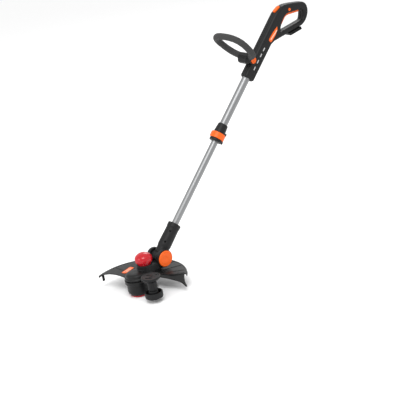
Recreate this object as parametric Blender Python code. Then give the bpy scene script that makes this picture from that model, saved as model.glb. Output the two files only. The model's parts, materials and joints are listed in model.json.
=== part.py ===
"""Cordless telescopic string trimmer, built as separately named parts.

Frame: metres, +Z up along the spin axis of the line spool, origin on the ground under it,
+X away from the operator, +Y to the operator's left.  The tubes lean back toward -X.
"""
import math

import bmesh
import bpy
from mathutils import Vector

MM = 0.001

# ---- overall sizes -------------------------------------------------------------------------
SHAFT_LEAN = 45.5                 # degrees the tubes lean back from upright
PIVOT_X = -103.7 * MM             # head pivot behind the spin axis
PIVOT_Z = 98.5 * MM               # head pivot above the ground
LOWER_TUBE_START = 40 * MM        # along the tubes, measured from the head pivot
LOWER_TUBE_END = 620 * MM
CLAMP_START = 446 * MM
UPPER_TUBE_END = 848 * MM
HANDLE_START = 694 * MM

# ---- tubes and clamp -----------------------------------------------------------------------
UPPER_TUBE_R = 14.0 * MM
UPPER_TUBE_WALL = 1.0 * MM
LOWER_TUBE_R = 12.0 * MM
LOWER_TUBE_WALL = 1.2 * MM
CLAMP_LENGTH = 66 * MM
CLAMP_NECK_WALL = 3.2 * MM
CLAMP_FLANGE_R = 23 * MM
LEVER_THICKNESS = 7.4 * MM
LEVER_PIN_R = 1.5 * MM
LEVER_HUB_R = 4.2 * MM
LEVER_PIN_ANGLE = 152.0           # degrees round the tube from the front toward the left
LEVER_END_ANGLE = -30.0
PLUG_LENGTH = 14 * MM

# ---- rear handle ---------------------------------------------------------------------------
HANDLE_HALF_WIDTH = 18 * MM
HANDLE_WALL = 2.6 * MM
HANDLE_FRONT = 18.5 * MM          # front face ahead of the tube axis
HANDLE_REAR = 26 * MM             # rear face behind the tube axis
SPLIT_GAP = 0.17 * MM             # half the gap between mating halves
TRIGGER_WIDTH = 15 * MM
TRIGGER_PIN_R = 1.5 * MM
LOCK_LENGTH = 32 * MM
LOCK_WIDTH = 16 * MM
SIDE_BUTTON_R = 5 * MM
TRIM_DEPTH = 1.2 * MM
SCREW_HEAD_R = 2.8 * MM
SCREW_SHANK_R = 1.4 * MM
RAIL_LENGTH = 62 * MM

# ---- loop handle ---------------------------------------------------------------------------
LOOP_PIVOT_UP = 758 * MM          # along the tubes
LOOP_PIVOT_FORWARD = 21 * MM      # ahead of the tube axis
LOOP_TILT = 3.9                   # degrees above square to the tubes
LOOP_CENTRE = 83.6 * MM
LOOP_HALF_WIDTH = 75.7 * MM
LOOP_HALF_LENGTH = 62.7 * MM
LOOP_TUBE_R = 11.3 * MM
LOOP_BARREL_R = 6 * MM
LOOP_BARREL_HALF = 12.2 * MM
LOOP_AXLE_R = 3 * MM
LOOP_BUTTON_R = 11.8 * MM
LOOP_BUTTON_FACE = 22.5 * MM      # out from the centre plane

# ---- lower housing and head pivot ----------------------------------------------------------
YOKE_LENGTH = 125 * MM
YOKE_R = 23.5 * MM
YOKE_TOP_R = 21.5 * MM
TONGUE_R = 19.5 * MM
TONGUE_HALF = 21.8 * MM
PIVOT_PIN_R = 4 * MM
CHEEK_LEFT_R = 31 * MM
CHEEK_RIGHT_R = 27.5 * MM
CHEEK_OUTER = 37 * MM
PIVOT_BUTTON_R = 28.4 * MM
PIVOT_BUTTON_FACE = 42 * MM

# ---- motor head ----------------------------------------------------------------------------
HEAD_BOTTOM = 61 * MM
NECK_BOTTOM = 66 * MM
HEAD_RIM_R = 41 * MM
HEAD_R = 37 * MM
HEAD_TOP = 82 * MM
HEAD_WALL = 2.6 * MM
NECK_HALF_WIDTH = 29 * MM
MOTOR_R = 23 * MM
MOTOR_BOTTOM = 49 * MM
MOTOR_TOP = 78 * MM
MOTOR_SHELL = 1.4 * MM
MOTOR_SHAFT_R = 2.5 * MM
FEED_X = -40 * MM
FEED_R = 30.8 * MM
FEED_STEM_R = 23 * MM
FEED_COLLAR_TOP = 97 * MM
FEED_BOTTOM = 103 * MM
FEED_TOP = 137.5 * MM
FEED_SPRING_R = 6 * MM
FEED_SPRING_BOTTOM = 80.3 * MM

# ---- spool ---------------------------------------------------------------------------------
SPOOL_R = 39 * MM
SPOOL_RIM_R = 43.2 * MM
SPOOL_RIM_HEIGHT = 13 * MM
SPOOL_FLOOR = 46.5 * MM
SPOOL_BOTTOM = 7 * MM
SPOOL_TOP = 58 * MM
SPOOL_WALL = 2.5 * MM
CAP_FLAT_R = 27.5 * MM
REEL_FLANGE_R = 34.5 * MM
REEL_HUB_R = 15 * MM
REEL_BOTTOM = 14 * MM
REEL_TOP = 42 * MM
REEL_FLANGE = 2 * MM
EYELET_Z = 11.5 * MM
EYELET_R = 3 * MM

# ---- edging wheels -------------------------------------------------------------------------
WHEEL_X = 6.7 * MM
WHEEL_Y = 96.3 * MM
UPPER_WHEEL_R = 34 * MM
LOWER_WHEEL_R = 31 * MM
WHEEL_THICKNESS = 21.8 * MM
LOWER_WHEEL_TOP = 35.2 * MM
UPPER_WHEEL_TOP = 91.5 * MM
WHEEL_NECK_R = 16.5 * MM
WHEEL_AXLE_R = 4 * MM

# ---- guard ---------------------------------------------------------------------------------
GUARD_X = -4 * MM                 # centre of the guard rim
GUARD_Y = 6 * MM
GUARD_R = 172 * MM
GUARD_NEAR_SHORT = 6 * MM          # the near side reaches less far out
GUARD_INNER_R = 52 * MM
GUARD_TOP = 59.5 * MM
GUARD_THICKNESS = 2.8 * MM
GUARD_DROOP = 2 * MM              # how far the far side hangs lower
GUARD_SKIRT = 10 * MM

# ---- clearances ----------------------------------------------------------------------------
FIT = 0.3 * MM                    # between parts that are fixed together
SLIDE = 0.4 * MM                  # between parts that move past each other
ROUND = 28                        # sides of a large round part
SMALL_ROUND = 16                  # sides of a small round part


class Frame:
    """A local frame: an origin and three axes."""

    def __init__(self, origin, ex, ey, ez):
        self.origin = Vector(origin)
        self.ex = Vector(ex)
        self.ey = Vector(ey)
        self.ez = Vector(ez)

    def at(self, x, y, z):
        return self.origin + self.ex * x + self.ey * y + self.ez * z

    def moved(self, x, y, z):
        return Frame(self.at(x, y, z), self.ex, self.ey, self.ez)


LEAN = math.radians(SHAFT_LEAN)
UP_TUBE = Vector((-math.sin(LEAN), 0, math.cos(LEAN)))
FORWARD = Vector((math.cos(LEAN), 0, math.sin(LEAN)))
LEFT = Vector((0, 1, 0))
PIVOT = (PIVOT_X, 0, PIVOT_Z)
HEAD = Frame((0, 0, 0), (1, 0, 0), (0, 1, 0), (0, 0, 1))
SHAFT = Frame(PIVOT, FORWARD, LEFT, UP_TUBE)      # x forward, y left, z up the tubes
SIDE = Frame(PIVOT, FORWARD, UP_TUBE, LEFT)       # outlines (forward, up), depth to the left
HEAD_SIDE = Frame((0, 0, 0), (1, 0, 0), (0, 0, 1), (0, 1, 0))


def make_collection(name):
    made = bpy.data.collections.new(name)
    bpy.context.scene.collection.children.link(made)
    return made


def make_material(name, colour, metallic, roughness):
    made = bpy.data.materials.new(name)
    made.use_nodes = True
    shader = made.node_tree.nodes["Principled BSDF"]
    shader.inputs["Base Color"].default_value = (*colour, 1)
    shader.inputs["Metallic"].default_value = metallic
    shader.inputs["Roughness"].default_value = roughness
    return made


for _old in list(bpy.data.objects):
    bpy.data.objects.remove(_old, do_unlink=True)

PARTS = make_collection("string_trimmer")
CUTTERS = make_collection("cutters")

BLACK = make_material("black_plastic", (0.025, 0.026, 0.028), 0.0, 0.55)
GREY = make_material("grey_plastic", (0.09, 0.09, 0.095), 0.0, 0.5)
SOFT = make_material("soft_rubber", (0.03, 0.03, 0.032), 0.0, 0.85)
ORANGE = make_material("orange_plastic", (0.9, 0.17, 0.03), 0.0, 0.4)
RED = make_material("red_plastic", (0.72, 0.02, 0.03), 0.0, 0.25)
ALUMINIUM = make_material("aluminium", (0.78, 0.79, 0.8), 1.0, 0.3)
STEEL = make_material("steel", (0.6, 0.6, 0.62), 1.0, 0.3)
BRASS = make_material("brass", (0.75, 0.55, 0.22), 1.0, 0.3)
BOARD = make_material("board_green", (0.02, 0.16, 0.07), 0.0, 0.5)
LINE = make_material("nylon_line", (0.75, 0.3, 0.05), 0.0, 0.45)


def add_mesh(name, points, faces, material, cutter=False):
    """Make one closed body from points and faces, facing outward."""
    mesh = bpy.data.meshes.new(name)
    mesh.from_pydata([tuple(p) for p in points], [], faces)
    work = bmesh.new()
    work.from_mesh(mesh)
    bmesh.ops.recalc_face_normals(work, faces=work.faces)
    work.to_mesh(mesh)
    work.free()
    made = bpy.data.objects.new(name, mesh)
    if material:
        mesh.materials.append(material)
    if cutter:
        CUTTERS.objects.link(made)
        made.hide_render = True
        made.display_type = "WIRE"
    else:
        PARTS.objects.link(made)
    return made


def lathe(name, profile, frame, material=None, steps=ROUND, cutter=False, closed=None):
    """Turn a profile of (radius, height) pairs about the frame's z axis."""
    if closed is None:
        closed = profile[0][0] > 0 and profile[-1][0] > 0
    points = []
    rings = []
    for radius, height in profile:
        if radius <= 0:
            rings.append([len(points)])
            points.append(frame.at(0, 0, height))
            continue
        ring = []
        for step in range(steps):
            angle = 2 * math.pi * step / steps
            ring.append(len(points))
            points.append(frame.at(radius * math.cos(angle), radius * math.sin(angle), height))
        rings.append(ring)
    faces = []
    pairs = list(zip(rings, rings[1:]))
    if closed:
        pairs.append((rings[-1], rings[0]))
    for low, high in pairs:
        for step in range(steps):
            after = (step + 1) % steps
            if len(low) == 1 and len(high) == 1:
                continue
            if len(low) == 1:
                faces.append((low[0], high[after], high[step]))
            elif len(high) == 1:
                faces.append((low[step], low[after], high[0]))
            else:
                faces.append((low[step], low[after], high[after], high[step]))
    return add_mesh(name, points, faces, material, cutter)


def inset(outline, distance):
    """Move every corner of an outline inward by a distance."""
    area = 0
    count = len(outline)
    for here, after in zip(outline, outline[1:] + outline[:1]):
        area += here[0] * after[1] - after[0] * here[1]
    sign = 1 if area > 0 else -1
    moved = []
    for index in range(count):
        before = Vector(outline[index - 1])
        here = Vector(outline[index])
        after = Vector(outline[(index + 1) % count])
        first = (here - before).normalized()
        second = (after - here).normalized()
        normal_a = Vector((-first.y, first.x)) * sign
        normal_b = Vector((-second.y, second.x)) * sign
        middle = (normal_a + normal_b).normalized()
        reach = distance / max(middle.dot(normal_a), 0.5)
        moved.append(tuple(here + middle * reach))
    return moved


def prism(name, outline, levels, frame, material=None, cutter=False):
    """Stack an outline at several heights, each with its own inset: (height, inset)."""
    points = []
    count = len(outline)
    for height, distance in levels:
        for x, y in inset(outline, distance):
            points.append(frame.at(x, y, height))
    faces = [tuple(range(count))[::-1]]
    for level in range(len(levels) - 1):
        base = level * count
        for index in range(count):
            after = (index + 1) % count
            faces.append((base + index, base + after, base + count + after, base + count + index))
    last = (len(levels) - 1) * count
    faces.append(tuple(range(last, last + count)))
    return add_mesh(name, points, faces, material, cutter)


def rectangle(x0, x1, y0, y1, corner):
    """A rectangle with its corners cut."""
    return [(x0 + corner, y0), (x1 - corner, y0), (x1, y0 + corner), (x1, y1 - corner),
            (x1 - corner, y1), (x0 + corner, y1), (x0, y1 - corner), (x0, y0 + corner)]


def oval(length, width, steps=16):
    """A rounded outline, longer along x."""
    points = []
    half = (length - width) / 2
    for step in range(steps):
        angle = 2 * math.pi * step / steps
        shift = half if math.cos(angle) >= -1e-9 else -half
        points.append((shift + width / 2 * math.cos(angle), width / 2 * math.sin(angle)))
    return points


def block(name, x0, x1, y0, y1, z0, z1, edge, frame, material=None, cutter=False):
    """A box with cut edges."""
    if edge <= 0:
        outline = [(x0, y0), (x1, y0), (x1, y1), (x0, y1)]
        return prism(name, outline, [(z0, 0), (z1, 0)], frame, material, cutter)
    outline = rectangle(x0, x1, y0, y1, edge)
    levels = [(z0, edge), (z0 + edge, 0), (z1 - edge, 0), (z1, edge)]
    return prism(name, outline, levels, frame, material, cutter)


def rod(name, radius, z0, z1, frame, material=None, cutter=False, steps=SMALL_ROUND, edge=0.0):
    """A round rod along the frame's z axis."""
    if edge > 0:
        profile = [(0, z0), (radius - edge, z0), (radius, z0 + edge), (radius, z1 - edge),
                   (radius - edge, z1), (0, z1)]
    else:
        profile = [(0, z0), (radius, z0), (radius, z1), (0, z1)]
    return lathe(name, profile, frame, material, steps, cutter)


def ring(name, outer, inner, z0, z1, frame, material=None, cutter=False, steps=ROUND):
    """A plain ring along the frame's z axis."""
    profile = [(outer, z0), (outer, z1), (inner, z1), (inner, z0)]
    return lathe(name, profile, frame, material, steps, cutter)


def coil(name, radius, wire_r, z0, z1, turns, frame, material):
    """A helical spring standing on the frame's z axis."""
    around = 8
    sides = 5
    total = around * turns
    points = []
    for step in range(total + 1):
        angle = 2 * math.pi * step / around
        height = z0 + wire_r + (z1 - z0 - 2 * wire_r) * step / total
        out = (math.cos(angle), math.sin(angle))
        for side in range(sides):
            turn = 2 * math.pi * side / sides
            reach = radius + wire_r * math.cos(turn)
            points.append(frame.at(reach * out[0], reach * out[1], height + wire_r * math.sin(turn)))
    faces = [tuple(range(sides))[::-1]]
    for step in range(total):
        base = step * sides
        for side in range(sides):
            after = (side + 1) % sides
            faces.append((base + side, base + after, base + sides + after, base + sides + side))
    faces.append(tuple(range(total * sides, (total + 1) * sides)))
    return add_mesh(name, points, faces, material)


def combine(target, operation, *others):
    for other in others:
        step = target.modifiers.new(operation.lower(), "BOOLEAN")
        step.operation = operation
        step.solver = "EXACT"
        step.object = other
        split = target.modifiers.new("split", "TRIANGULATE")
        split.min_vertices = 5
    return target


def cut(target, *cutters):
    return combine(target, "DIFFERENCE", *cutters)


def join(target, *pieces):
    return combine(target, "UNION", *pieces)


# ============================ rear handle housing ===========================================
def mm_points(pairs):
    return [(a * MM, b * MM) for a, b in pairs]


BOTTOM = HANDLE_START / MM
FRONT = HANDLE_FRONT / MM
REAR = -HANDLE_REAR / MM
HOUSING_OUTLINE = mm_points([
    (REAR + 6, BOTTOM), (FRONT - 6, BOTTOM), (FRONT, BOTTOM + 6), (FRONT, 936), (18, 950),
    (14, 966), (8, 981), (-1, 994), (-12, 1004), (-28, 1017), (-60, 1040), (-70, 1046),
    (-81, 1048), (-92, 1045), (-103, 1037), (-111, 1026), (-116, 1013), (-118, 1000),
    (-117, 987), (-112, 973), (-70, 915), (-32, 863), (REAR, 846), (REAR, BOTTOM + 6)])
WINDOW_OUTLINE = mm_points([
    (-37, 906), (-30, 917), (-25.5, 931), (-23.5, 946), (-23.5, 958), (-26.5, 969), (-33.5, 979),
    (-74, 1017.5), (-83, 1020), (-91.5, 1013.5), (-98, 1003.5), (-101, 994), (-99, 988), (-94, 981),
    (-47, 917), (-42, 908)])
W = HANDLE_HALF_WIDTH
OUTER_LEVELS = [(0.5, 0), (0.68, 0.6 * MM), (0.85, 2.6 * MM), (0.95, 5.0 * MM), (1.0, 7.5 * MM)]


def housing_half(name, side):
    """One half of the rear handle shell; side is +1 for left, -1 for right."""
    levels = [(side * SPLIT_GAP, 0)] + [(side * W * part, deep) for part, deep in OUTER_LEVELS]
    shell = prism(name, HOUSING_OUTLINE, levels, SIDE, BLACK)
    flare = [(-side * 2 * MM, 0), (side * W * 0.5, 0), (side * W * 0.68, -0.5 * MM),
             (side * W * 0.85, -2.0 * MM), (side * W * 1.02, -5.5 * MM)]
    window = prism(name + "_window_cut", WINDOW_OUTLINE, flare, SIDE, cutter=True)
    wall = HANDLE_WALL
    hollow_levels = [(-side * 2 * MM, wall), (side * W * 0.48, wall), (side * W * 0.66, wall + 0.6 * MM),
                     (side * (W - wall), wall + 4.5 * MM)]
    hollow = prism(name + "_hollow", HOUSING_OUTLINE, hollow_levels, SIDE, cutter=True)
    keep_levels = [(-side * 3 * MM, -wall), (side * W * 0.5, -wall), (side * W * 0.68, -wall - 0.6 * MM),
                   (side * (W + 1 * MM), -wall - 5.0 * MM)]
    keep = prism(name + "_window_wall", WINDOW_OUTLINE, keep_levels, SIDE, cutter=True)
    plug = block(name + "_end_plug", -0.05, 0.05, HANDLE_START - 0.01, HANDLE_START + 20 * MM,
                 -0.05, 0.05, 0, SIDE, cutter=True)
    cut(hollow, keep, plug)
    bore = rod(name + "_bore", UPPER_TUBE_R + FIT, HANDLE_START - 0.01, UPPER_TUBE_END + 2 * MM, SHAFT,
               cutter=True, steps=ROUND)
    cut(shell, bore, hollow, window)
    return shell


LOOP_HUB = SIDE.moved(LOOP_PIVOT_FORWARD, LOOP_PIVOT_UP, 0)
EAR_INNER = LOOP_BARREL_HALF + SLIDE
EAR_OUTER = 20 * MM
EAR_R = LOOP_BUTTON_R + 2.6 * MM
BUTTON_RECESS = LOOP_BUTTON_R + SLIDE
housing_left = housing_half("housing_left", 1)
housing_right = housing_half("housing_right", -1)
for half, side in ((housing_left, 1), (housing_right, -1)):
    tag = half.name
    notch_r = LOOP_BARREL_R + 1.8 * MM
    notch = block(tag + "_hub_notch", -notch_r, 14 * MM, -notch_r, notch_r, -EAR_INNER, EAR_INNER, 0,
                  LOOP_HUB,
                  cutter=True)
    ear_levels = sorted((side * (EAR_INNER + 0.1 * MM), side * EAR_OUTER))
    ear = rod(tag + "_ear", EAR_R, ear_levels[0], ear_levels[1], LOOP_HUB, cutter=True, steps=ROUND)
    hole_r = LOOP_AXLE_R + 0.1 * MM
    profile = [(0, -17 * MM), (hole_r, -17 * MM), (hole_r, 17 * MM), (0, 17 * MM)]
    if side > 0:
        profile = [(0, -17 * MM), (hole_r, -17 * MM), (hole_r, 16 * MM), (BUTTON_RECESS, 16 * MM),
                   (BUTTON_RECESS, 30 * MM), (0, 30 * MM)]
    pin_hole = lathe(tag + "_loop_pin_hole", profile, LOOP_HUB, cutter=True)
    cut(half, notch)
    join(half, ear)
    cut(half, pin_hole)

# ---- trigger, lock-off and side button -----------------------------------------------------
GRIP_A = (-30 * MM, 972 * MM)             # where the grip's inner edge starts
GRIP_DIR = Vector((-40, 38)).normalized()
GRIP_IN = Vector((-GRIP_DIR.y, GRIP_DIR.x))
GRIP = Frame(SIDE.at(GRIP_A[0], GRIP_A[1], 0),
             FORWARD * GRIP_DIR.x + UP_TUBE * GRIP_DIR.y,
             FORWARD * GRIP_IN.x + UP_TUBE * GRIP_IN.y, LEFT)
TRIGGER_HALF = TRIGGER_WIDTH / 2
TRIGGER_OUTLINE = mm_points([
    (-33, 930), (-32, 948), (-32, 960), (-34.5, 967.5), (-39.5, 974.5), (-73, 1006.5),
    (-75, 1010.5), (-72, 1014.5), (-66, 1015), (-58, 1012), (-30, 986), (-20, 975),
    (-14.5, 962), (-14.5, 935), (-19, 928), (-28, 926)])
TRIGGER_PIVOT = (-18.5 * MM, 939 * MM)
trigger = prism("trigger", TRIGGER_OUTLINE,
                [(-TRIGGER_HALF, 1.2 * MM), (-TRIGGER_HALF + 1.4 * MM, 0),
                 (TRIGGER_HALF - 1.4 * MM, 0), (TRIGGER_HALF, 1.2 * MM)], SIDE, ORANGE)
TRIGGER_HUB = SIDE.moved(TRIGGER_PIVOT[0], TRIGGER_PIVOT[1], 0)
cut(trigger, rod("trigger_bore", TRIGGER_PIN_R + SLIDE, -0.02, 0.02, TRIGGER_HUB, cutter=True))
rod("trigger_pin", TRIGGER_PIN_R, -13 * MM, 13 * MM, TRIGGER_HUB, STEEL)
slot_shape = mm_points([(-38, 922), (-38, 952), (-46, 968), (-79, 1008), (-77, 1018), (-67, 1024),
                        (-55, 1023), (-25, 994), (-13, 978), (-9.5, 962), (-9.5, 930), (-14, 922)])
slot = prism("trigger_slot", slot_shape, [(-TRIGGER_HALF - SLIDE, 0), (TRIGGER_HALF + SLIDE, 0)], SIDE,
             cutter=True)
cut(housing_left, slot)
cut(housing_right, slot)
block("main_switch", 8 * MM, 30 * MM, -27.5 * MM, -17 * MM, -7 * MM, 7 * MM, 0.8 * MM, GRIP, GREY)

LOCK_DIR = Vector((-10, 31)).normalized()
LOCK_OUT = Vector((LOCK_DIR.y, -LOCK_DIR.x))
LOCK = Frame(SIDE.at(13.9 * MM, 965 * MM, 0),
             FORWARD * LOCK_DIR.x + UP_TUBE * LOCK_DIR.y, LEFT,
             FORWARD * LOCK_OUT.x + UP_TUBE * LOCK_OUT.y)
lock_shape = oval(LOCK_LENGTH, LOCK_WIDTH)
prism("lock_off_button", lock_shape, [(-7 * MM, 0), (2.6 * MM, 0), (3.8 * MM, 0.8 * MM),
                                      (4.6 * MM, 2.6 * MM)],
      LOCK, ORANGE)
lock_slot = prism("lock_slot", lock_shape, [(-14 * MM, -SLIDE), (10 * MM, -SLIDE)], LOCK, cutter=True)
cut(housing_left, lock_slot)
cut(housing_right, lock_slot)

SIDE_BUTTON = GRIP.moved(8 * MM, -15 * MM, 0)
rod("side_button", SIDE_BUTTON_R, 13 * MM, W + 2.2 * MM, SIDE_BUTTON, ORANGE, edge=0.8 * MM)
cut(housing_left, rod("side_button_hole", SIDE_BUTTON_R + SLIDE, 10 * MM, 30 * MM, SIDE_BUTTON, cutter=True))

# ---- side trims, screws, electronics, battery foot -----------------------------------------
TRIM_OUTLINE = mm_points([(-9, 911), (-4, 886), (-1.5, 856), (-5, 850), (-14, 849), (-17.5, 853), (-20, 880),
                          (-17, 902)])
for side, half in ((1, housing_left), (-1, housing_right)):
    label = "left" if side > 0 else "right"
    levels = [(side * (W - TRIM_DEPTH + FIT), FIT), (side * (W + 0.4 * MM), FIT),
              (side * (W + 0.9 * MM), 1.2 * MM)]
    prism("side_trim_" + label, TRIM_OUTLINE, levels, SIDE, ORANGE)
    cut(half, prism("trim_pocket_" + label, TRIM_OUTLINE,
                    [(side * (W - TRIM_DEPTH), 0), (side * 0.05, 0)], SIDE, cutter=True))

SCREW_SPOTS = (("housing_screw_low", -12, 722), ("housing_screw_middle", 9.5, 833),
               ("housing_screw_rear", -76, 943))
for name, forward, up in SCREW_SPOTS:
    spot = SIDE.moved(forward * MM, up * MM, 0)
    lathe(name, [(0, 12.0 * MM), (SCREW_SHANK_R, 12.0 * MM), (SCREW_SHANK_R, 15.6 * MM), (SCREW_HEAD_R,
                                                                                          15.6 * MM),
                 (SCREW_HEAD_R, 17.0 * MM), (SCREW_HEAD_R - 0.6 * MM, 17.6 * MM), (1.3 * MM, 17.6 * MM),
                 (1.3 * MM, 16.6 * MM), (0, 16.6 * MM)], spot, STEEL, steps=16)
    cut(housing_left, rod(name + "_hole", SCREW_HEAD_R + FIT, 15.3 * MM, 30 * MM, spot, cutter=True),
        rod(name + "_way", SCREW_SHANK_R + 0.2 * MM, 9 * MM, 30 * MM, spot, cutter=True, steps=16))

VENT_UP = (738, 765, 790, 814)
for side, half in ((1, housing_left), (-1, housing_right)):
    for index, up in enumerate(VENT_UP):
        vent = SIDE.moved(-2 * MM, up * MM, 0)
        vent = Frame(vent.origin, vent.ey, -vent.ex, vent.ez)
        reach = sorted((side * 14.4 * MM, side * 30 * MM))
        cut(half, prism("vent_%d" % index, oval(15 * MM, 5 * MM, 12), [(reach[0], 0), (reach[1], 0)], vent,
                        cutter=True))

block("control_board", -2 * MM, 12 * MM, 862 * MM, 924 * MM, -12 * MM, 12 * MM, 0, SIDE, BOARD)
block("heat_sink", -14 * MM, -2.6 * MM, 868 * MM, 900 * MM, -10 * MM, 10 * MM, 0.8 * MM, SIDE, ALUMINIUM)

FOOT_DIR = Vector((-42, 58)).normalized()
FOOT_OUT = Vector((-FOOT_DIR.y, FOOT_DIR.x))
FOOT = Frame(SIDE.at(-70 * MM, 915 * MM, 0),
             FORWARD * FOOT_DIR.x + UP_TUBE * FOOT_DIR.y,
             FORWARD * FOOT_OUT.x + UP_TUBE * FOOT_OUT.y, LEFT)
rail_outline = mm_points([(5, 0.4), (6, 8), (9, 10), (RAIL_LENGTH / MM, 10), (RAIL_LENGTH / MM + 3, 8),
                          (RAIL_LENGTH / MM + 3, 0.4)])
battery_rail = prism("battery_rail", rail_outline,
                     [(-20 * MM, 1 * MM), (-19 * MM, 0), (19 * MM, 0), (20 * MM, 1 * MM)], FOOT, BLACK)
for side in (1, -1):
    groove = block("rail_groove_%d" % side, 16 * MM, 0.1, 3 * MM, 6.4 * MM,
                   side * 16.5 * MM if side > 0 else -0.03,
                   0.03 if side > 0 else side * 16.5 * MM, 0, FOOT, cutter=True)
    cut(battery_rail, groove)
pocket = block("terminal_pocket", 14 * MM, 46 * MM, 4 * MM, 20 * MM, -11 * MM, 11 * MM, 0, FOOT, cutter=True)
cut(battery_rail, pocket)
block("terminal_block", 14.6 * MM, 30 * MM, 4.4 * MM, 9 * MM, -10.4 * MM, 10.4 * MM, 0.5 * MM, FOOT, GREY)
for side, label in ((1, "positive"), (-1, "negative")):
    block("contact_" + label, 30.5 * MM, 45 * MM, 4.6 * MM, 9 * MM, side * 6 * MM - 0.5 * MM,
          side * 6 * MM + 0.5 * MM, 0, FOOT, BRASS)

# ============================ tubes, clamp and lever ========================================
TUBE_SEAT = CLAMP_START + 12 * MM
ring("upper_tube", UPPER_TUBE_R, UPPER_TUBE_R - UPPER_TUBE_WALL, TUBE_SEAT + FIT, UPPER_TUBE_END, SHAFT,
     ALUMINIUM)
ring("lower_tube", LOWER_TUBE_R, LOWER_TUBE_R - LOWER_TUBE_WALL, LOWER_TUBE_START, LOWER_TUBE_END, SHAFT,
     ALUMINIUM)
plug_r = UPPER_TUBE_R - UPPER_TUBE_WALL - SLIDE
spigot_r = LOWER_TUBE_R - LOWER_TUBE_WALL - FIT
lathe("guide_plug", [(4 * MM, LOWER_TUBE_END - 20 * MM), (spigot_r, LOWER_TUBE_END - 20 * MM),
                     (spigot_r, LOWER_TUBE_END + FIT), (plug_r, LOWER_TUBE_END + FIT),
                     (plug_r, LOWER_TUBE_END + PLUG_LENGTH - 1.5 * MM),
                     (plug_r - 1.5 * MM, LOWER_TUBE_END + PLUG_LENGTH),
                     (4 * MM, LOWER_TUBE_END + PLUG_LENGTH)],
      SHAFT, BLACK, steps=32)

neck_r = UPPER_TUBE_R + FIT + CLAMP_NECK_WALL
CLAMP_END = CLAMP_START + CLAMP_LENGTH
LEVER_LOW = CLAMP_START + 9.6 * MM
LEVER_HIGH = CLAMP_START + 31.2 * MM
clamp_body = lathe("clamp_body", [
    (LOWER_TUBE_R + SLIDE, CLAMP_START), (CLAMP_FLANGE_R - 1 * MM, CLAMP_START),
    (CLAMP_FLANGE_R, CLAMP_START + 1 * MM), (CLAMP_FLANGE_R, LEVER_LOW - 1.2 * MM),
    (CLAMP_FLANGE_R - 0.6 * MM, LEVER_LOW - 0.6 * MM), (neck_r, LEVER_LOW - 0.6 * MM),
    (neck_r, LEVER_HIGH + 0.6 * MM), (neck_r + 3.2 * MM, LEVER_HIGH + 0.6 * MM),
    (neck_r + 3.2 * MM, LEVER_HIGH + 4 * MM), (neck_r + 0.4 * MM, CLAMP_END - 1 * MM),
    (neck_r - 0.6 * MM, CLAMP_END), (UPPER_TUBE_R + FIT, CLAMP_END), (UPPER_TUBE_R + FIT, TUBE_SEAT),
    (LOWER_TUBE_R + SLIDE, TUBE_SEAT)], SHAFT, BLACK)
pin_turn = math.radians(LEVER_PIN_ANGLE)
pin_reach = neck_r + LEVER_HUB_R + 0.6 * MM
LEVER_AXIS = SHAFT.moved(pin_reach * math.cos(pin_turn), pin_reach * math.sin(pin_turn), 0)
lug_low = rod("clamp_lug_low", LEVER_HUB_R + 0.6 * MM, CLAMP_START, LEVER_LOW - 0.6 * MM, LEVER_AXIS,
              cutter=True)
lug_high = rod("clamp_lug_high", LEVER_HUB_R + 0.6 * MM, LEVER_HIGH + 0.6 * MM, LEVER_HIGH + 9 * MM,
               LEVER_AXIS,
               cutter=True)
pin_way = rod("clamp_pin_way", LEVER_PIN_R + 0.1 * MM, CLAMP_START + 3 * MM, LEVER_HIGH + 7 * MM, LEVER_AXIS,
              cutter=True)
join(clamp_body, lug_low, lug_high)
cut(clamp_body, pin_way)
rod("lever_pin", LEVER_PIN_R, CLAMP_START + 3.4 * MM, LEVER_HIGH + 6.6 * MM, LEVER_AXIS, STEEL)

lever_in = neck_r + 0.8 * MM
lever_out = lever_in + LEVER_THICKNESS
arc = []
first_angle = LEVER_PIN_ANGLE - 6
arc_steps = 22
for step in range(arc_steps + 1):
    angle = math.radians(first_angle + (LEVER_END_ANGLE - first_angle) * step / arc_steps)
    arc.append((lever_out * math.cos(angle), lever_out * math.sin(angle)))
tail = math.radians(LEVER_END_ANGLE - 9)
arc.append((lever_out * 1.06 * math.cos(tail), lever_out * 1.06 * math.sin(tail)))
arc.append((lever_out * 0.96 * math.cos(tail), lever_out * 0.96 * math.sin(tail)))
for step in range(arc_steps, -1, -1):
    angle = math.radians(first_angle + (LEVER_END_ANGLE - first_angle) * step / arc_steps)
    arc.append((lever_in * math.cos(angle), lever_in * math.sin(angle)))
clamp_lever = prism("clamp_lever", arc, [(LEVER_LOW, 1.2 * MM), (LEVER_LOW + 1.2 * MM, 0),
                                         (LEVER_HIGH - 1.2 * MM, 0), (LEVER_HIGH, 1.2 * MM)], SHAFT, ORANGE)
join(clamp_lever, rod("lever_hub", LEVER_HUB_R, LEVER_LOW, LEVER_HIGH, LEVER_AXIS, cutter=True))
cut(clamp_lever, rod("lever_bore", LEVER_PIN_R + SLIDE, LEVER_LOW - 0.01, LEVER_HIGH + 0.01, LEVER_AXIS,
                     cutter=True))

# ============================ loop handle ===================================================
tilt = math.radians(LOOP_TILT)
LOOP_OUT = FORWARD * math.cos(tilt) + UP_TUBE * math.sin(tilt)
LOOP_NORMAL = LOOP_OUT.cross(LEFT)
LOOP_CENTRE_POINT = LOOP_HUB.at(0, 0, 0)


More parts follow.
